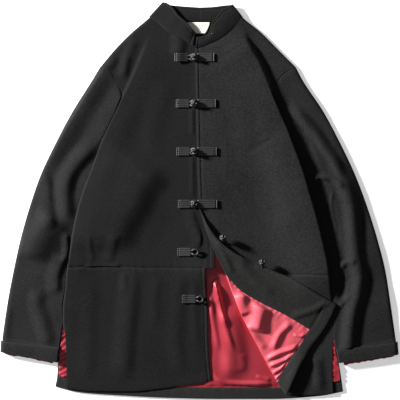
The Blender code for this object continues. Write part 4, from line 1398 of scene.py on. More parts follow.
@dataclass
class TurnedCorner(BodyPart):
    """The left front's corner, turned back: its cloth, facing, lining and hem."""

    front: LeftFront
    step: float = 3.4
    form: EdgeForm = EdgeForm(stitch=7.0, dip=0.5)
    hem_short: Points = ((272, -209), (262, -232), (250, -254), (238, -272))
    hem_long: Points = ((238, -272), (219, -297), (196, -338), (172, -391))
    facing_edge: Points = ((52, -150), (80, -179), (124, -206), (170, -229), (219, -259))
    facing_end: Points = ((219, -259), (238, -272))
    hem_fold: Points = ((219, -259), (206, -280), (178, -321), (154, -364))
    start_gap: float = 0.4
    lining_end: tuple[float, float] = (153.0, -363.0)
    facing_turn: Sequence[tuple] = ((0.0, 1.0), (0.34, 1.0), (0.4, 0.0), (1.0, 0.0))
    lining_turn: Sequence[tuple] = ((0.0, 1.0), (0.9, 1.0), (1.0, 0.4))
    lifts: Sequence[tuple] = (
        (6.0, 40, 30, ((204, -300), (196, -336), (184, -370), (170, -416))),
        (3.6, 18, 16, ((4, -28), (16, -54), (40, -85), (74, -110), (110, -126))),
    )
    folds_facing: Sequence[tuple] = (
        (1.6, 16, 16, ((70, -120), (110, -160), (150, -190))),
        (-1.3, 3.2, 3.2, ((256, -196), (240, -224), (218, -261))),
        (2.2, 9, 12, ((262, -202), (222, -222), (178, -236))),
        (1.2, 10, 10, ((30, -80), (52, -118), (66, -150))),
    )
    folds_lining: Sequence[tuple] = (
        (5.2, 18, 26, ((82, -184), (86, -206), (94, -232))),
        (9.0, 24, 34, ((129, -208), (118, -236), (112, -266))),
        (3.2, 9, 12, ((184, -244), (160, -268), (144, -302))),
        (3.4, 10, 6, ((128, -322), (160, -306), (204, -292))),
        (3.0, 8, 5, ((134, -334), (160, -324), (196, -306))),
        (2.8, 7, 5, ((142, -348), (160, -338), (182, -322))),
        (2.4, 6, 5, ((150, -358), (160, -352), (172, -340))),
        (2.0, 12, 12, ((92, -248), (112, -276), (132, -300))),
        (2.0, 5, 5, ((186, -268), (200, -272), (212, -270))),
    )

    def over(self, panel: Panel, above: float) -> np.ndarray:
        """Heights over the left front."""
        x, y = panel.x, panel.y
        return self.heights.lap(x, y) + self.front.crest_at(x, y) + folds_at(x, y, self.lifts) + above

    def cloth(self) -> None:
        """The outer cloth, its right side down."""
        o, h = self.outline, self.heights
        crease = np.vstack([inset_line(o.crease_upper, h.crease_inset)[6:],
                            inset_line(o.crease_lower, h.crease_inset)[1:]])
        start, end = edge((1, crease)), edge((1, o.flap_front[1:]))
        foot = edge((0.7, [start([1])[0], *self.hem_long[2::-1]]), (1.0, self.hem_short[::-1]))
        p = Panel(start, end, joined(start, end, 0), foot, spread(230, 7.0, also=(0.7,)),
                  spread(340, 7.0))
        cloth = Cloth("flap_outer", p.raised(self.over(p, h.flap)), h.cloth)
        self.wardrobe.sheet("flap_cloth", cloth, WOOL, "front_left_upper_panel", Hold.FOLDED)

    def facing(self) -> None:
        """The facing along the turned-back front edge, down round the crease at its start."""
        o, h = self.outline, self.heights
        start = edge((1, o.flap_front))
        end = edge((0.38, o.crease_upper), (0.93, self.facing_edge), (1.0, self.facing_end))
        u = spread(100, 2.6, self.form.near(), (0.8, 2.0), h.side_steps())
        v = spread(345, self.step, (), (1.0, 2.4), (0.34, 0.38, 0.4, 0.93))
        p = Panel(start, end, joined(start, end, 0), edge((1, self.hem_short)), u, v)
        z = self.over(p, h.flap + h.skin + h.facing) + folds_at(p.x, p.y, self.folds_facing)
        z = z + undulation(p.x, p.y, wave=30, height=0.3, seed=51)
        z = z + self.form.heights(p.off(Side.START)) * smooth_step((v[:, None] - 0.1) / 0.1)
        z = z - (h.flap - self.start_gap) * (1 - smooth_step(v / 0.16))[:, None]
        z = z + seam_dip(p.off(Side.FOOT), depth=0.6, reach=2.0)
        z = h.end_turned(z, p, self.facing_turn, h.crease_foot + h.lap_rise)
        cloth = Cloth("flap_facing_strip", p.raised(z), h.facing)
        self.wardrobe.sheet("flap_facing", cloth, FACING_WOOL, "flap_outer", Hold.FOLDED)

    def lining(self) -> None:
        """The satin of the corner, down round the crease."""
        o, h = self.outline, self.heights
        sewn = lowered(self.facing_edge, h.curved_seam)
        start = edge((1, self.hem_fold))
        end = straight(sewn[0], *o.crease_lower[1:3], self.lining_end)
        head = straight(self.hem_fold[0], *sewn[-2::-1])
        u = spread(200, 2.4, (0.8, 2.0), (), h.side_steps())
        v = spread(250, 2.6, (0.8, 2.0, 3.2))
        p = Panel(start, end, head, joined(start, end, 1), u, v)
        x, y = p.x, p.y
        to_facing, to_hem = p.off(Side.HEAD), p.off(Side.START)
        inner = smooth_step(to_facing / 9) * smooth_step(to_hem / 7)
        soft = undulation(x, y, wave=22, height=0.8, seed=61) + 0.6
        relief = (folds_at(x, y, self.folds_lining) + soft) * inner
        relief = relief + puckers(to_facing, x - y, height=0.45, seed=14)
        relief = relief + puckers(to_hem, x - y, height=0.7, seed=15)
        z = self.over(p, h.flap + h.skin + h.lining) + relief * smooth_step(to_hem / 2 + 0.3)
        z = h.end_turned(z, p, self.lining_turn, h.crease_foot)
        cloth = Cloth("flap_lining_satin", p.raised(z), h.lining, rounding=0.25)
        # The corner's satin is painted lighter, as light.
        self.wardrobe.sheet("flap_lining", cloth, LIGHT_PAINTED_SATIN, "flap_outer", Hold.FOLDED)

    def hem(self) -> None:
        """The hem of the turned-back corner."""
        h = self.heights
        start = edge((1, np.array(self.hem_fold) + (h.seam, -h.seam)))
        end = edge((1, lowered(self.hem_long, h.seam)))
        u, v = spread(26, 2.4, (0.8, 1.8), (0.8, 1.8, 3.2)), spread(140, 3.4)
        p = Panel(start, end, joined(start, end, 0), joined(start, end, 1), u, v)
        z = self.over(p, h.flap + h.skin + h.cloth)
        z = z + undulation(p.x, p.y, wave=24, height=0.35, seed=71)
        z = z + seam_dip(p.off(Side.END), depth=0.8, reach=2.4)
        z = z + puckers(p.off(Side.START), p.x - p.y, height=0.25, seed=16)
        cloth = Cloth("flap_hem_turning", p.raised(z), h.cloth)
        self.wardrobe.sheet("flap_hem", cloth, FACING_WOOL, "flap_outer", Hold.FOLDED)

    def build(self) -> None:
        """Builds the four layers."""
        self.cloth()
        self.facing()
        self.lining()
        self.hem()


@dataclass
class Sleeve:
    """A sleeve pressed flat, its turned-up cuff, and the lining that peeps out of it."""

    wardrobe: Wardrobe
    heights: Heights
    side: str
    inner: Line
    outer: Points
    armhole: Points
    cuff: Points
    folds: Sequence[tuple]
    seed: int
    peep_weight: Sequence[tuple] = ((0.0, 1.0), (1.0, 1.0))
    length: float = 560.0
    step: float = 3.8
    columns: int = 38
    lower_columns: int = 9
    rim_steps: tuple[float, ...] = (0.0, 0.25, 0.7, 1.5, 2.6, 4.0, 5.6, 7.2)
    inside_cuff: tuple[float, ...] = (0.03, 0.2, 0.4, 0.6, 0.8)
    top: float = 6.8
    cuff_top: float = 12.2
    edge_middle: float = 3.2
    under_radius: float = 3.3
    upper_radius: float = 9.0
    inner_radius: float = 1.2
    armhole_fade: float = 0.25
    cuff_lift: float = 2.5
    inset: float = 3.6
    peep: float = 3.6
    peep_inset: float = 6.0
    tucked: float = 8.0
    ragged: float = 0.2

    def ring_shares(self, width: float) -> tuple[np.ndarray, np.ndarray]:
        """Shares across the tube for its upper run, then for its lower run back.

        Args:
            width: The width of the section.

        Returns:
            Both runs.
        """
        near = np.array([*self.rim_steps, self.upper_radius]) / width
        middle = np.linspace(near[-1], 1 - near[-1], self.columns)[1:-1]
        low = np.array([1.0, self.under_radius]) / width
        under = np.linspace(1 - low[1], low[1], self.lower_columns)[1:-1]
        lower = np.concatenate([1 - low, under, low[::-1]])
        return np.concatenate([near, middle, 1 - near[::-1]]), lower

    def ring(self, a: np.ndarray, b: np.ndarray, top: float, relief: Callable, lift: float = 0.0,
             bow: Callable | None = None) -> np.ndarray:
        """A section of the tube, flat below.

        Args:
            a, b: The plan points of its ends.
            top: The height of its upper face.
            relief: Gives what plan points add to that height.
            lift: How far the section is raised.
            bow: Gives plan moves for shares from a to b.

        Returns:
            Points all round, the first again at the end.
        """
        def turned(near: np.ndarray, radius: float | np.ndarray) -> np.ndarray:
            """The share of its height that a rounded edge has at a distance in from it."""
            return np.sqrt(1 - (1 - np.clip(near / radius, 0, 1)) ** 2)

        width = np.linalg.norm(b - a)
        runs = []
        for share, is_upper in zip(self.ring_shares(width), (True, False)):
            at = a + np.outer(share, b - a)
            if bow is not None:
                at = at + bow(share)
            near = np.minimum(share, 1 - share) * width
            if is_upper:
                rise = top + relief(at[:, 0], at[:, 1]) - self.edge_middle
                radius = np.where(share < 0.5, self.inner_radius, self.upper_radius)
                z = self.edge_middle + rise * turned(near, radius)
            else:
                z = self.edge_middle * (1 - turned(near, self.under_radius))
            runs.append(np.column_stack([at, z + lift]))
        points = np.vstack(runs)
        return np.vstack([points, points[:1]])

    def cuff_line(self, share: float, inset: float) -> tuple[np.ndarray, np.ndarray]:
        """The two ends of a section of the cuff, at a share of the way down it.

        Args:
            share: The share.
            inset: How far in from the cuff's sides the ends are.

        Returns:
            The ends.
        """
        upper_a, upper_b, lower_a, lower_b = np.array(self.cuff, float)
        a, b = upper_a + (lower_a - upper_a) * share, upper_b + (lower_b - upper_b) * share
        inward = (b - a) / np.linalg.norm(b - a)
        return a + inward * inset, b - inward * inset

    def relief(self, x: np.ndarray, y: np.ndarray) -> np.ndarray:
        """The sleeve's folds and unevenness."""
        return folds_at(x, y, self.folds) + worn(x, y, (48, 0.5), fine=17, seed=self.seed)

    def tube(self) -> None:
        """The sleeve, from the armhole to a little way inside the cuff."""
        rows = spread(self.length, self.step, (1.2, 2.6))
        starts, ends = self.inner(rows), edge((1, self.outer))(rows)

        def bow_at(v: float) -> Callable:
            """The bend of a section near the armhole.

            Args:
                v: The share of the way down the sleeve.

            Returns:
                Plan moves for shares across the section.
            """
            fade = max(0.0, 1 - v / self.armhole_fade)
            return lambda share: fade * (
                sampled(self.armhole, share) - starts[0] - np.outer(share, ends[0] - starts[0]))

        rings = []
        for v, a, b in zip(rows, starts, ends):
            dip = float(seam_dip(np.array(v * self.length), depth=0.9, reach=2.4))
            rings.append(self.ring(a, b, self.top + dip, self.relief, bow=bow_at(v)))
        for share in self.inside_cuff:
            line = self.cuff_line(share, self.inset)
            rings.append(self.ring(*line, self.top, lambda x, y: 0 * x, lift=self.cuff_lift))
        cloth = Cloth(f"sleeve_{self.side}_tube", np.array(rings), self.heights.cloth, tube=True)
        self.wardrobe.sheet(f"sleeve_{self.side}", cloth, SLEEVE_WOOL, "floor")

    def turned_cuff(self) -> None:
        """The cuff, turned up round the end of the sleeve."""
        def relief(x: np.ndarray, y: np.ndarray) -> np.ndarray:
            """A slight unevenness."""
            return undulation(x, y, wave=30, height=0.35, seed=self.seed + 5)

        rings = []
        for share in spread(27, 2.0, (0.6, 1.4), (0.6, 1.4)):
            swell = 0.7 * math.sin(math.pi * share) - 0.5 * math.exp(-share * 18)
            rings.append(self.ring(*self.cuff_line(share, 0.0), self.cuff_top + swell, relief))
        cloth = Cloth(f"cuff_{self.side}_turning", np.array(rings), self.heights.cloth, tube=True,
                      rounding=0.8)
        self.wardrobe.sheet(f"cuff_{self.side}", cloth, SLEEVE_WOOL, f"sleeve_{self.side}_tube",
                            Hold.FOLDED)

    def lining(self) -> None:
        """The strip of sleeve lining that peeps out past the cuff, uneven along its edge."""
        h = self.heights
        a, b = self.cuff_line(1.0, self.inset + self.peep_inset)
        down = np.subtract(self.cuff[2], self.cuff[0])
        down = down / np.linalg.norm(down)
        u, v = spread(100, 1.8), spread(12, 1.2)
        along = a + np.outer(u, b - a)
        weight = np.interp(u, *zip(*self.peep_weight))
        past = self.peep * weight * (1 + self.ragged * np.sin(u * 37) * np.sin(u * 13 + 1))
        inner, outer = along - self.tucked * down, along + past[:, None] * down
        plan = inner[None] + v[:, None, None] * (outer - inner)[None]
        x = plan[..., 0]
        gathers = 0.5 * np.sin(x / 2.6 + np.sin(x / 7)) * v[:, None]
        z = self.cuff_lift + h.cloth + h.seam + h.lining + gathers
        place = np.dstack([x, plan[..., 1], z])
        cloth = Cloth(f"sleeve_lining_{self.side}_edge", place, h.lining, rounding=0.25)
        self.wardrobe.sheet(f"sleeve_lining_{self.side}", cloth, SATIN, f"cuff_{self.side}_turning")

    def build(self) -> None:
        """Builds the three pieces."""
        self.tube()
        self.turned_cuff()
        self.lining()


FOLDS_SLEEVE_RIGHT = (
    (1.6, 13, 34, ((-150, 226), (-172, 172), (-196, 130), (-222, 98))),
    (5.8, 23, 30, ((-200, 124), (-224, 98), (-248, 72), (-264, 44), (-270, 6), (-267, -26),
        (-256, -62))),
    (4.2, 36, 12, ((-178, 284), (-190, 262), (-201, 245), (-224, 212), (-256, 158), (-283, 116),
        (-301, 82), (-316, 54))),
    (3.4, 17, 30, ((-318, 64), (-306, 30), (-303, -4), (-298, -40), (-292, -62))),
    (10.0, 60, 46, ((-288, -24), (-307, -54), (-328, -86), (-342, -124))),
    (2.5, 8, 14, ((-268, -64), (-266, -88), (-268, -112), (-274, -130))),
    (3.9, 15, 26, ((-270, -106), (-281, -132), (-288, -160), (-285, -190))),
    (3.6, 22, 24, ((-320, -170), (-326, -206), (-318, -236), (-308, -270), (-300, -300))),
    (1.6, 22, 10, ((-388, -210), (-392, -250), (-396, -286))),
)
FOLDS_SLEEVE_LEFT = (
    (-2.0, 16, 18, ((158, 226), (186, 176), (214, 110), (240, 40), (262, -30), (276, -100),
        (284, -150))),
    (5.2, 19, 14, ((174, 196), (186, 180), (204, 162), (230, 134), (248, 106), (267, 78),
        (288, 40))),
    (8.2, 27, 22, ((246, 104), (264, 78), (282, 46), (294, 14), (302, -16), (306, -60), (310, -118),
        (319, -150), (315, -186), (304, -224), (299, -262), (296, -300), (293, -380))),
    (5.0, 11, 9, ((222, 36), (238, 45), (256, 44), (272, 36), (288, 20))),
    (1.6, 6, 6, ((268, 22), (262, -4), (266, -30), (276, -70))),
    (3.8, 8, 12, ((278, -136), (288, -127), (299, -123), (311, -127))),
    (-4.0, 12, 12, ((280, -136), (286, -172), (281, -204))),
    (2.5, 7, 7, ((302, -188), (288, -204), (276, -214))),
)


def sleeves(wardrobe: Wardrobe, o: BodyOutline, heights: Heights) -> list[Sleeve]:
    """The two sleeves, beside the body.

    Args:
        wardrobe: Where their pieces are kept.
        o: The body's edges.
        heights: Heights and walls.

    Returns:
        The right one and the left one.
    """
    beside_body, soft_seam = -2.2, 1.3
    right_tail = ((-274.2, -245), (-278.2, -275), (-281.1, -295.8))
    left_tail = ((266.2, -272), (270.2, -290), (272.4, -300))
    right = Sleeve(
        wardrobe, heights, "right",
        inner=edge((0.74, inset_line(o.side_right, -beside_body)),
                   (0.9, inset_line(o.skirt_right, -beside_body)), (1.0, right_tail)),
        outer=((-201, 265), (-216, 240), (-256, 176), (-290, 112), (-320, 48), (-342, -16),
               (-360, -80), (-374, -144), (-386, -208), (-396, -276)),
        armhole=inset_line(o.armhole_right, soft_seam)[::-1],
        cuff=((-281.3, -296), (-399, -282), (-284.5, -325), (-400, -304)),
        folds=FOLDS_SLEEVE_RIGHT, seed=91,
        peep_weight=((0.0, 1.0), (0.3, 0.9), (0.45, 0.6), (0.7, 0.6), (0.85, 1.0), (1.0, 0.7)))
    left = Sleeve(
        wardrobe, heights, "left",
        inner=edge((0.74, inset_line(o.side_left, beside_body)),
                   (0.94, inset_line(o.skirt_left, beside_body)), (1.0, left_tail)),
        outer=((193, 265), (206, 240), (248, 176), (282, 112), (312, 48), (336, -16),
               (356, -80), (372, -144), (382, -208), (392, -278)),
        armhole=np.array(o.armhole_left, float)[::-1],
        cuff=((272.4, -300), (396, -284), (277.7, -326), (398, -309)),
        folds=FOLDS_SLEEVE_LEFT, seed=97,
        peep_weight=((0.0, 1.6), (0.5, 1.3), (1.0, 0.9)))
    return [right, left]


@dataclass
class Collar:
    """The standing collar's two halves and the label below it.

    A half runs from the centre back round the side to the centre front. Its rows give the seam
    line's x, y, z, then the top edge's.
    """

    wardrobe: Wardrobe
    wall: float = 2.6
    arch: float = 1.1
    label_wall: float = 0.6
    label_base: float = 2.5
    label_right: Points = ((-28, 356), (-22, 344), (-8, 334))
    label_left: Points = ((20, 356), (16, 344), (10, 334))
    form: EdgeForm = EdgeForm(stitch=4.5, dip=0.45, dip_width=1.1, swell=0.2)
    right: Points = (
        (0, 358, 3.8, 0, 385, 4.8), (-30, 358, 3.8, -30, 387, 4.8), (-62, 360, 3.8, -60, 390, 4.8),
        (-92, 364, 4.2, -70, 393, 5.2), (-101, 366, 5.2, -74, 395, 7.0),
        (-98, 364, 5.6, -68, 394, 8.6), (-84, 354, 5.8, -56, 386, 9.6),
        (-66, 338, 5.8, -44, 370, 10.4), (-50, 328, 5.8, -28, 356, 10.4),
        (-34, 318, 5.6, -16, 342, 9.4), (-14, 309, 5.0, -9, 334, 6.0))
    left: Points = (
        (0, 358, 3.8, 0, 385, 4.8), (28, 358, 3.8, 24, 386, 4.8), (56, 361, 3.8, 48, 389, 4.8),
        (78, 364, 4.2, 60, 390, 5.2), (86, 364, 5.2, 65, 391, 7.0), (84, 361, 5.8, 60, 388, 8.4),
        (74, 350, 6.0, 46, 380, 9.2), (62, 338, 6.6, 32, 364, 9.8), (50, 327, 7.6, 23, 352, 10.4),
        (30, 316, 8.4, 22, 338, 10.8), (10, 308, 8.6, 14, 328, 11.0), (-9, 303, 8.6, -7, 325, 11.0))

    def half(self, side: str, rows: Points) -> None:
        """One half of the collar.

        Args:
            side: Which half.
            rows: Its seam line and top edge.
        """
        u = spread(240, 2.4, (), self.form.near())
        v = spread(32, 2.4, (0.9, 2.0), self.form.near())
        at = sampled(rows, u)
        across = v[None, :, None]
        place = at[:, None, :3] * (1 - across) + at[:, None, 3:] * across
        depth = np.linalg.norm(at[:, 3:] - at[:, :3], axis=1)[:, None]
        to_top = (1 - v)[None, :] * depth
        gaps = np.linalg.norm(np.diff(at[:, :3] / 2 + at[:, 3:] / 2, axis=0), axis=1)
        to_end = np.concatenate([np.cumsum(gaps[::-1])[::-1], [0.0]])[:, None] + 0 * to_top
        rim = np.minimum(to_top, to_end)
        x, y = place[..., 0], place[..., 1]
        place[..., 2] += self.arch * np.sin(np.pi * across[..., 0]) + self.form.heights(rim)
        place[..., 2] += undulation(x, y, wave=24, height=0.18, seed=81)
        place[..., 2] += seam_dip(v[None, :] * depth, depth=0.5, reach=2.0)
        cloth = Cloth(f"collar_{side}_half", place, self.wall, band=True, rounding=0.6)
        self.wardrobe.sheet(f"collar_{side}", cloth, COLLAR_WOOL, "back_panel", Hold.FOLDED)

    def label(self) -> None:
        """A plain woven label, sagging a little between its sewn corners."""
        start, end = edge((1, self.label_right)), edge((1, self.label_left))
        u, v = spread(48, 1.6), spread(24, 1.6)
        p = Panel(start, end, joined(start, end, 0), joined(start, end, 1), u, v)
        sag = (0.35 * np.sin(p.x / 5.5) + 0.3) * v[:, None]
        place = p.raised(self.label_base + self.label_wall + sag)
        cloth = Cloth("neck_label_cloth", place, self.label_wall, rounding=0.15)
        self.wardrobe.sheet("neck_label", cloth, LABEL_CLOTH, "back_panel")

    def build(self) -> None:
        """Builds both halves and the label."""
        self.half("right", self.right)
        self.half("left", self.left)
        self.label()


def merged(name: str, parts: Sequence[bpy.types.Object], finish: Finish) -> bpy.types.Object:
    """One plain mesh from several objects, modifiers applied.

    Args:
        name: The new piece's name.
        parts: The objects, which are removed.
        finish: The piece's finish.

    Returns:
        The piece.
    """
    graph = evaluated()
    points, faces = [], []
    for part in parts:
        mesh = bpy.data.meshes.new_from_object(part.evaluated_get(graph))
        first = len(points)
        points += [part.matrix_world @ v.co for v in mesh.vertices]
        faces += [[first + i for i in p.vertices] for p in mesh.polygons]
        bpy.data.meshes.remove(mesh)
    for part in parts:
        bpy.data.objects.remove(part)
    return placed(name, smooth_mesh(name, points, faces, finish.material()))


def cord(points: np.ndarray, radius: float, closed: bool = False) -> bpy.types.Object:
    """A round cord through points in millimetres.

    Args:
        points: The middle of the cord.
        radius: Its radius.
        closed: Whether its end runs into its start.

    Returns:
        The cord, as a curve.
    """
    line = bpy.data.curves.new("cord", "CURVE")
    line.dimensions = "3D"
    spline = line.splines.new("POLY")
    spline.points.add(len(points) - 1)
    for slot, point in zip(spline.points, points):
        slot.co = (*(np.array(point) * MM), 1.0)
    spline.use_cyclic_u = closed
    line.bevel_depth = radius * MM
    line.bevel_resolution = 2
    line.use_fill_caps = not closed
    return placed("cord", line)


@dataclass
class Frogs:
    """Knotted fastenings: tabs of corded strips, loops and ball knots."""

    wardrobe: Wardrobe
    rows: Sequence[tuple] = (
        (285, -51, -24, -5, 29), (193, -48, -21, -5, 32), (97, -47, -20, -5, 34),
        (-8, -44, -19, -5, 35))
    open_loops: Sequence[tuple] = ((-104, -45, -18, 4.0), (-198, -36, -8, 2.0))
    open_knots: Sequence[tuple] = ((46, -75), (124, -124))
    knot_x: float = -11.5
    tab_cords: int = 4
    tab_height: float = 17.0
    tab_wall: float = 1.4
    cord_rise: float = 0.9
    cap: float = 1.3
    cap_gap: float = 0.5
    loop_cord: float = 2.0
    loop_radius: float = 6.8
    open_radius: float = 5.6
    loop_turn: float = math.radians(128)
    loop_feet: Sequence[tuple] = ((-2.0, 2.4), (0.8, 2.8))
    root_rise: float = 1.9
    knot_ball: float = 5.0
    knot_weave: float = 1.0
    knot_cord: float = 1.95
    knot_turns: int = 3
    knot_lobes: int = 4
    knot_reach: float = math.radians(64)
    knot_flat: float = 0.92
    knot_core: float = 1.2
    knot_rise: float = 3.0
    knot_tilt: float = 0.35
    neck_gap: float = 1.45
    neck_cord: float = 1.35
    stem: Sequence[tuple] = ((-15.0, 9.5), (-9.0, 12.0), (-3.0, 18.0))
    stem_cord: float = 1.3
    open_ring: float = 8.5
    open_height: float = 22.5
    open_tilt: float = 0.9
    laid: float = 0.25
    right_nodes: tuple[str, ...] = ("front_right_upper", "front_right_lower", "underlap")
    left_nodes: tuple[str, ...] = ("front_left_upper", "front_left_lower")

    def seat(self, x: float, y: float, reach: float, nodes: Sequence[str]) -> float:
        """The highest cloth round a plan point.

        Args:
            x, y: The plan point.
            reach: How far round it counts.
            nodes: The solids whose pieces count.

        Returns:
            The height.
        """
        across = np.linspace(-reach, reach, 5)
        points = np.array([(x + dx, y + dy) for dx in across for dy in across])
        return float(np.nanmax(self.wardrobe.drape(points, nodes, 0.0)[:, 2]))

    def root(self, x: float, y: float) -> float:
        """The height of a loop's cord where it leaves its tab."""
        return self.seat(x - 3, y, 4.0, self.right_nodes) + self.laid + self.root_rise

    def tab(self, y: float, x_in: float, x_out: float, nodes: Sequence[str]) -> list:
        """A tab of parallel cords with a folded end.

        Args:
            y: Its middle.
            x_in: Where it starts beside the knot.
            x_out: Its outer end.
            nodes: What it lies on.

        Returns:
            Its parts.
        """
        way = math.copysign(1.0, x_out - x_in)
        x_cords = x_out - way * (2 * self.cap + self.cap_gap)
        columns = np.linspace(x_in, x_cords, 16)
        half = self.tab_height / 2
        t = np.linspace(0, self.tab_cords, self.tab_cords * 8 + 1)
        rows = y + half - t / self.tab_cords * self.tab_height
        cords = np.sqrt(np.clip(1 - (2 * (t % 1.0) - 1) ** 2, 0, 1)) * self.cord_rise
        ways = [self.wardrobe.drape(np.column_stack([columns, 0 * columns + y + dy]), nodes, 0.0)
                for dy in (-half, -half / 2, 0.0, half / 2, half)]
        seat = np.max([w[:, 2] for w in ways], axis=0)
        seat = np.convolve(np.pad(seat, 2, mode="edge"), np.ones(5) / 5, "valid")
        z = seat[None, :] + self.laid + self.tab_wall + cords[:, None]
        x, r = np.meshgrid(columns, rows)
        strip = Cloth("strip", np.dstack([x, r, z]), self.tab_wall, rounding=0.0)
        ends = np.linspace(-1, 1, 9)
        x_cap = x_out - way * self.cap
        level = seat[-1] + self.laid + self.cap + 0.4
        fold = np.array([(x_cap + 0.25 * way * e * e, y + e * (half - 0.6), level) for e in ends])
        return [strip.build(CORD.material()), cord(fold, self.cap)]

    def knot(self, x: float, y: float, z: float, tilt: float) -> list:
        """A ball knot: one cord worked over and under itself, round a core.

        Args:
            x, y, z: Its centre.
            tilt: How far it is turned in plan.

        Returns:
            Its parts.
        """
        t = np.linspace(0, math.tau, 241)[:-1]
        turn, rise = self.knot_turns * t, self.knot_reach * np.cos(self.knot_lobes * t)
        r = self.knot_ball + self.knot_weave * np.sin(2 * self.knot_lobes * t)
        around = np.column_stack([
            r * np.sin(rise), r * np.cos(rise) * np.cos(turn), r * np.cos(rise) * np.sin(turn)])
        c, s = math.cos(tilt), math.sin(tilt)
        spin = np.array([(c, -s, 0), (s, c, 0), (0, 0, self.knot_flat)])
        core = [(x - self.knot_core, y, z), (x + self.knot_core, y, z)]
        return [cord(around @ spin.T + (x, y, z), self.knot_cord, closed=True),
                cord(core, self.knot_ball - 0.2)]

    def loop(self, x_root: float, y: float, x_ring: float, z_root: float, z_ring: float,
             radius: float) -> list:
        """The loop that a knot goes through: a horseshoe of cord from its tab.

        Args:
            x_root: Where its tab ends.
            y: Its middle line.
            x_ring: Where the middle of its ring is.
            z_root, z_ring: Heights at the tab and round the ring.
            radius: The ring's radius.

        Returns:
            Its parts.
        """
        turns = np.linspace(self.loop_turn, -self.loop_turn, 21)
        points = [(x_root + dx, y + dy, z_root) for dx, dy in self.loop_feet]
        points += [(x_ring + radius * math.cos(t), y + radius * math.sin(t), z_ring) for t in turns]
        points += [(x_root + dx, y - dy, z_root) for dx, dy in self.loop_feet[::-1]]
        return [cord(sampled(points, np.linspace(0, 1, 52)), self.loop_cord)]

    def finished(self, name: str, parts: list, *nodes: str) -> None:
        """Makes one piece of a frog's parts, in place of its solids.

        Args:
            name: The piece's name.
            parts: The parts.
            nodes: The solids.
        """
        piece = merged(name, parts, CORD)
        settle(piece, *nodes, slot=CORD.slot)
        log.info("%s: %d faces", piece.name, len(piece.data.polygons))

    def fastened(self) -> None:
        """The four rows that are done up."""
        both = (*self.right_nodes, *self.left_nodes)
        for k, (y, start, end, left_start, left_end) in enumerate(self.rows, 1):
            parts = self.tab(y, end, start, self.right_nodes)
            parts += self.tab(y, left_start, left_end, self.left_nodes)
            seat = self.seat(self.knot_x, y, 8.0, both)
            z_ring = seat + self.laid + self.loop_cord
            parts += self.loop(end, y, self.knot_x, self.root(end, y), z_ring, self.loop_radius)
            z_knot = z_ring + self.knot_rise
            parts += self.knot(self.knot_x, y, z_knot, self.knot_tilt * (-1) ** k)
            for dy in (-self.neck_gap, self.neck_gap):
                neck = [(self.knot_x + 3, y + dy, z_knot - 0.6), (left_start + 3, y + dy, seat + 2.6)]
                parts.append(cord(np.array(neck), self.neck_cord))
            self.finished(f"frog_row_{k}", parts, f"frog_loop_tab_{k}", f"frog_loop_{k}",
                          f"frog_knot_tab_{k}", f"frog_knot_{k}")

    def undone(self) -> None:
        """The two loops that are undone, and the knots that belong to them."""
        for k, (y, start, end, rise) in enumerate(self.open_loops, len(self.rows) + 1):
            root = self.root(end, y)
            parts = self.tab(y, end, start, self.right_nodes)
            parts += self.loop(end, y, end + self.open_ring, root, root + rise, self.open_radius)
            self.finished(f"frog_open_loop_{k}", parts, f"frog_loop_tab_{k}", f"frog_loop_{k}")
        for k, (x, y) in enumerate(self.open_knots, len(self.rows) + 1):
            parts = self.knot(x, y, self.open_height, self.open_tilt)
            parts.append(cord(np.array([(x, y + dy, z) for dy, z in self.stem]), self.stem_cord))
            self.finished(f"frog_open_knot_{k}", parts, f"frog_knot_{k}")

    def build(self) -> None:
        """Builds every frog."""
        self.fastened()
        self.undone()


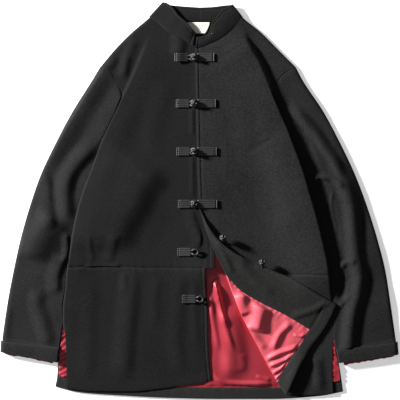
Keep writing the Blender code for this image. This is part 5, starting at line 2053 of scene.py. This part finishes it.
@dataclass
class Stitching:
    """Rows of stitches laid along lines on the cloth by Geometry Nodes."""

    wardrobe: Wardrobe
    pitch: float = 4.0
    length: float = 3.1
    thickness: float = 0.34
    sunk: float = -0.05
    spacing: float = 3.0
    seed: int = 7
    lines: list[np.ndarray] = field(default_factory=list)

    def run(self, points: Points, node: str, inset: float = 0.0) -> None:
        """Adds a row of stitches.

        Args:
            points: Plan points of the row, or of the edge that it follows.
            node: The solid whose piece it is sewn through.
            inset: How far it lies to the left of the points, as they run.
        """
        line = inset_line(points, inset)
        length = np.linalg.norm(np.diff(line, axis=0), axis=1).sum()
        line = sampled(line, np.linspace(0, 1, max(3, int(length / self.spacing))))
        self.lines.append(self.wardrobe.drape(line, [node], self.sunk))

    def tree(self) -> tuple[bpy.types.NodeTree, dict[str, str]]:
        """The node tree that turns lines into stitches.

        Returns:
            The tree, and the identifier of each named input.
        """
        tree = bpy.data.node_groups.new("stitch_rows", "GeometryNodeTree")
        labels = ("Lines", "Pitch", "Length", "Thickness", "Seed", "Thread")
        names = add_sockets(tree, "INPUT", labels)
        add_sockets(tree, "OUTPUT", ("Stitches",))
        graph = Graph(tree)
        given, out = graph.add("NodeGroupInput").outputs, graph.add("NodeGroupOutput")
        curves = graph.add("GeometryNodeMeshToCurve", {0: given["Lines"]})
        places = graph.add("GeometryNodeCurveToPoints", {
            "Curve": curves.outputs[0], "Length": given["Pitch"]}, mode="LENGTH")
        stitch = graph.add("GeometryNodeMeshUVSphere", {"Segments": 6, "Rings": 4, "Radius": 1.0})
        half = graph.times(given["Length"], 0.5)
        size = graph.add("ShaderNodeCombineXYZ", {
            0: given["Thickness"], 1: given["Thickness"], 2: half})
        shaped = graph.add("GeometryNodeTransform", {
            "Geometry": stitch.outputs[0], "Scale": size.outputs[0]})
        uneven = graph.add("FunctionNodeRandomValue", {
            "Min": (0.85, 0.85, 0.88), "Max": (1.1, 1.1, 1.04), "Seed": given["Seed"]},
            data_type="FLOAT_VECTOR")
        rows = graph.add("GeometryNodeInstanceOnPoints", {
            "Points": places.outputs["Points"], "Instance": shaped.outputs[0],
            "Rotation": places.outputs["Rotation"], "Scale": uneven.outputs[0]})
        real = graph.add("GeometryNodeRealizeInstances", {0: rows.outputs[0]})
        dressed = graph.add("GeometryNodeSetMaterial", {
            "Geometry": real.outputs[0], "Material": given["Thread"]})
        tree.links.new(dressed.outputs[0], out.inputs[0])
        return tree, names

    def build(self) -> None:
        """Builds every stitch as one plain mesh."""
        points, edges = [], []
        for line in self.lines:
            first = len(points)
            points += (line * MM).tolist()
            edges += [(first + i, first + i + 1) for i in range(len(line) - 1)]
        guide = bpy.data.meshes.new("stitch_guide")
        guide.from_pydata(points, edges, [])
        maker = placed("stitch_guide", guide)
        tree, names = self.tree()
        rows = maker.modifiers.new("Stitches", "NODES")
        rows.node_group = tree
        given = {"Pitch": self.pitch * MM, "Length": self.length * MM,
                 "Thickness": self.thickness * MM, "Seed": self.seed, "Thread": THREAD.material()}
        for label, value in given.items():
            rows[names[label]] = value
        mesh = bpy.data.meshes.new_from_object(maker.evaluated_get(evaluated()))
        bpy.data.objects.remove(maker)
        mesh.name = "seam_stitches"
        mesh.shade_smooth()
        piece = placed("seam_stitches", mesh)
        settle(piece)
        log.info("%s: %d rows, %d faces", piece.name, len(self.lines), len(mesh.polygons))


# ---------------------------------------------------------------- the studio


@dataclass(frozen=True)
class Lamp:
    """A square soft light."""

    name: str
    place: tuple[float, float, float]
    size: float
    power: float
    colour: tuple[float, float, float] = (1.0, 1.0, 1.0)

    def build(self) -> None:
        """Hangs the light, facing the jacket."""
        data = bpy.data.lights.new(self.name, "AREA")
        data.size, data.energy, data.color = self.size, self.power, self.colour
        made = placed(self.name, data)
        made.location = self.place
        made.rotation_euler = (-Vector(self.place)).to_track_quat("-Z", "Y").to_euler()


@dataclass
class Studio:
    """A pale floor, a low key light from the upper left, soft fill and the camera overhead."""

    span: float = 0.8
    lens: float = 110.0
    sensor: float = 36.0
    level: float = 0.008
    floor_size: float = 8.0
    floor_shader: tuple[tuple[str, object], ...] = (
        ("Base Color", (0.8, 0.8, 0.8, 1)), ("Roughness", 0.9), ("Specular IOR Level", 0.1),
        ("Emission Color", (1, 1, 1, 1)), ("Emission Strength", 0.45))
    key_distance: float = 5.0
    key_elevation: float = 18.5
    key_turn: float = 156.0
    key_size: float = 0.55
    key_power: float = 1150.0
    key_colour: tuple[float, ...] = (1.0, 0.985, 0.96)
    top_place: tuple[float, ...] = (-0.9, 0.5, 2.6)
    top_size: float = 1.3
    top_power: float = 3.0
    sky_colour: tuple[float, ...] = (0.96, 0.98, 1.0)
    world: float = 0.14

    def floor(self) -> None:
        """The plain pale floor."""
        half = self.floor_size / 2
        paper = bpy.data.materials.new("pale_floor")
        paper.use_nodes = True
        surface = paper.node_tree.nodes["Principled BSDF"].inputs
        for socket, value in self.floor_shader:
            surface[socket].default_value = value
        corners = [(-half, -half, 0), (half, -half, 0), (half, half, 0), (-half, half, 0)]
        placed("floor", smooth_mesh("floor", corners, [(0, 1, 2, 3)], paper))

    def lights(self) -> None:
        """The key, a weak overhead light for the satin, and an even surround."""
        turn, rise = math.radians(self.key_turn), math.radians(self.key_elevation)
        away = self.key_distance
        key = (away * math.cos(rise) * math.cos(turn), away * math.cos(rise) * math.sin(turn),
               away * math.sin(rise))
        Lamp("key", key, self.key_size, self.key_power, self.key_colour).build()
        Lamp("overhead", self.top_place, self.top_size, self.top_power, self.sky_colour).build()
        world = bpy.data.worlds.new("surround")
        world.use_nodes = True
        sky = world.node_tree.nodes["Background"]
        sky.inputs[0].default_value = (*self.sky_colour, 1)
        sky.inputs[1].default_value = self.world
        bpy.context.scene.world = world
        bpy.context.scene.view_settings.view_transform = "Standard"

    def camera(self) -> None:
        """A long lens straight above, the wearer's collar at the top of the frame."""
        data = bpy.data.cameras.new("overhead_camera")
        data.lens, data.sensor_width = self.lens, self.sensor
        made = placed("overhead_camera", data)
        made.location = (0, 0, self.level + self.span * self.lens / self.sensor)
        bpy.context.scene.camera = made

    def build(self) -> None:
        """Sets up the studio."""
        self.floor()
        self.lights()
        self.camera()


def sew(wardrobe: Wardrobe, right: RightFront, left: LeftFront, corner: TurnedCorner,
        collar: Collar) -> None:
    """Sews the rows of stitches that show.

    Args:
        wardrobe: The pieces of cloth.
        right: The right front.
        left: The left front.
        corner: The turned-back corner.
        collar: The collar.
    """
    rows, o = Stitching(wardrobe), right.outline
    rows.run([*left.centre[:-1], LAP_END], "front_left_upper", left.form.stitch)
    rows.run(lowered(o.edge_right_lower, 3)[:-1], "front_right_lower", -right.form.stitch)
    rows.run(o.flap_front[1:], "flap_facing", -corner.form.stitch)
    rows.run(UNDERLAP_ROW, "underlap")
    rows.run(inset_line(o.hem_back, HEM_ROW), "back_hem")
    rows.run(np.array(corner.hem_fold) + FOLD_ROW, "flap_hem")
    across, along = TACK
    for x, y in TACKS:
        for dy in (along, -along):
            rows.run([(x - across, y + dy), (x + across, y - dy)], "flap_facing")
    rows.run(LABEL_ROW, "neck_label")
    for node, half in (("collar_right", collar.right), ("collar_left", collar.left)):
        front = np.array(half[5:], float)
        seam, top = front[:, :3], front[:, 3:]
        share = 1 - collar.form.stitch / np.linalg.norm(top - seam, axis=1)[:, None]
        rows.run((seam * (1 - share) + top * share)[:-1, :2], node)
    rows.build()


def main() -> None:
    """Builds the jacket and its studio."""
    logging.basicConfig(level=logging.INFO, format="%(message)s")
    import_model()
    outline, heights, wardrobe = BodyOutline(), Heights(), Wardrobe()
    right, left = RightFront(wardrobe, outline, heights), LeftFront(wardrobe, outline, heights)
    corner, collar = TurnedCorner(wardrobe, outline, heights, left), Collar(wardrobe)
    for part in (Back(wardrobe, outline, heights), right, left, corner,
                 *sleeves(wardrobe, outline, heights), collar, Frogs(wardrobe)):
        part.build()
    sew(wardrobe, right, left, corner, collar)
    Studio().build()


if __name__ == "__main__":
    main()
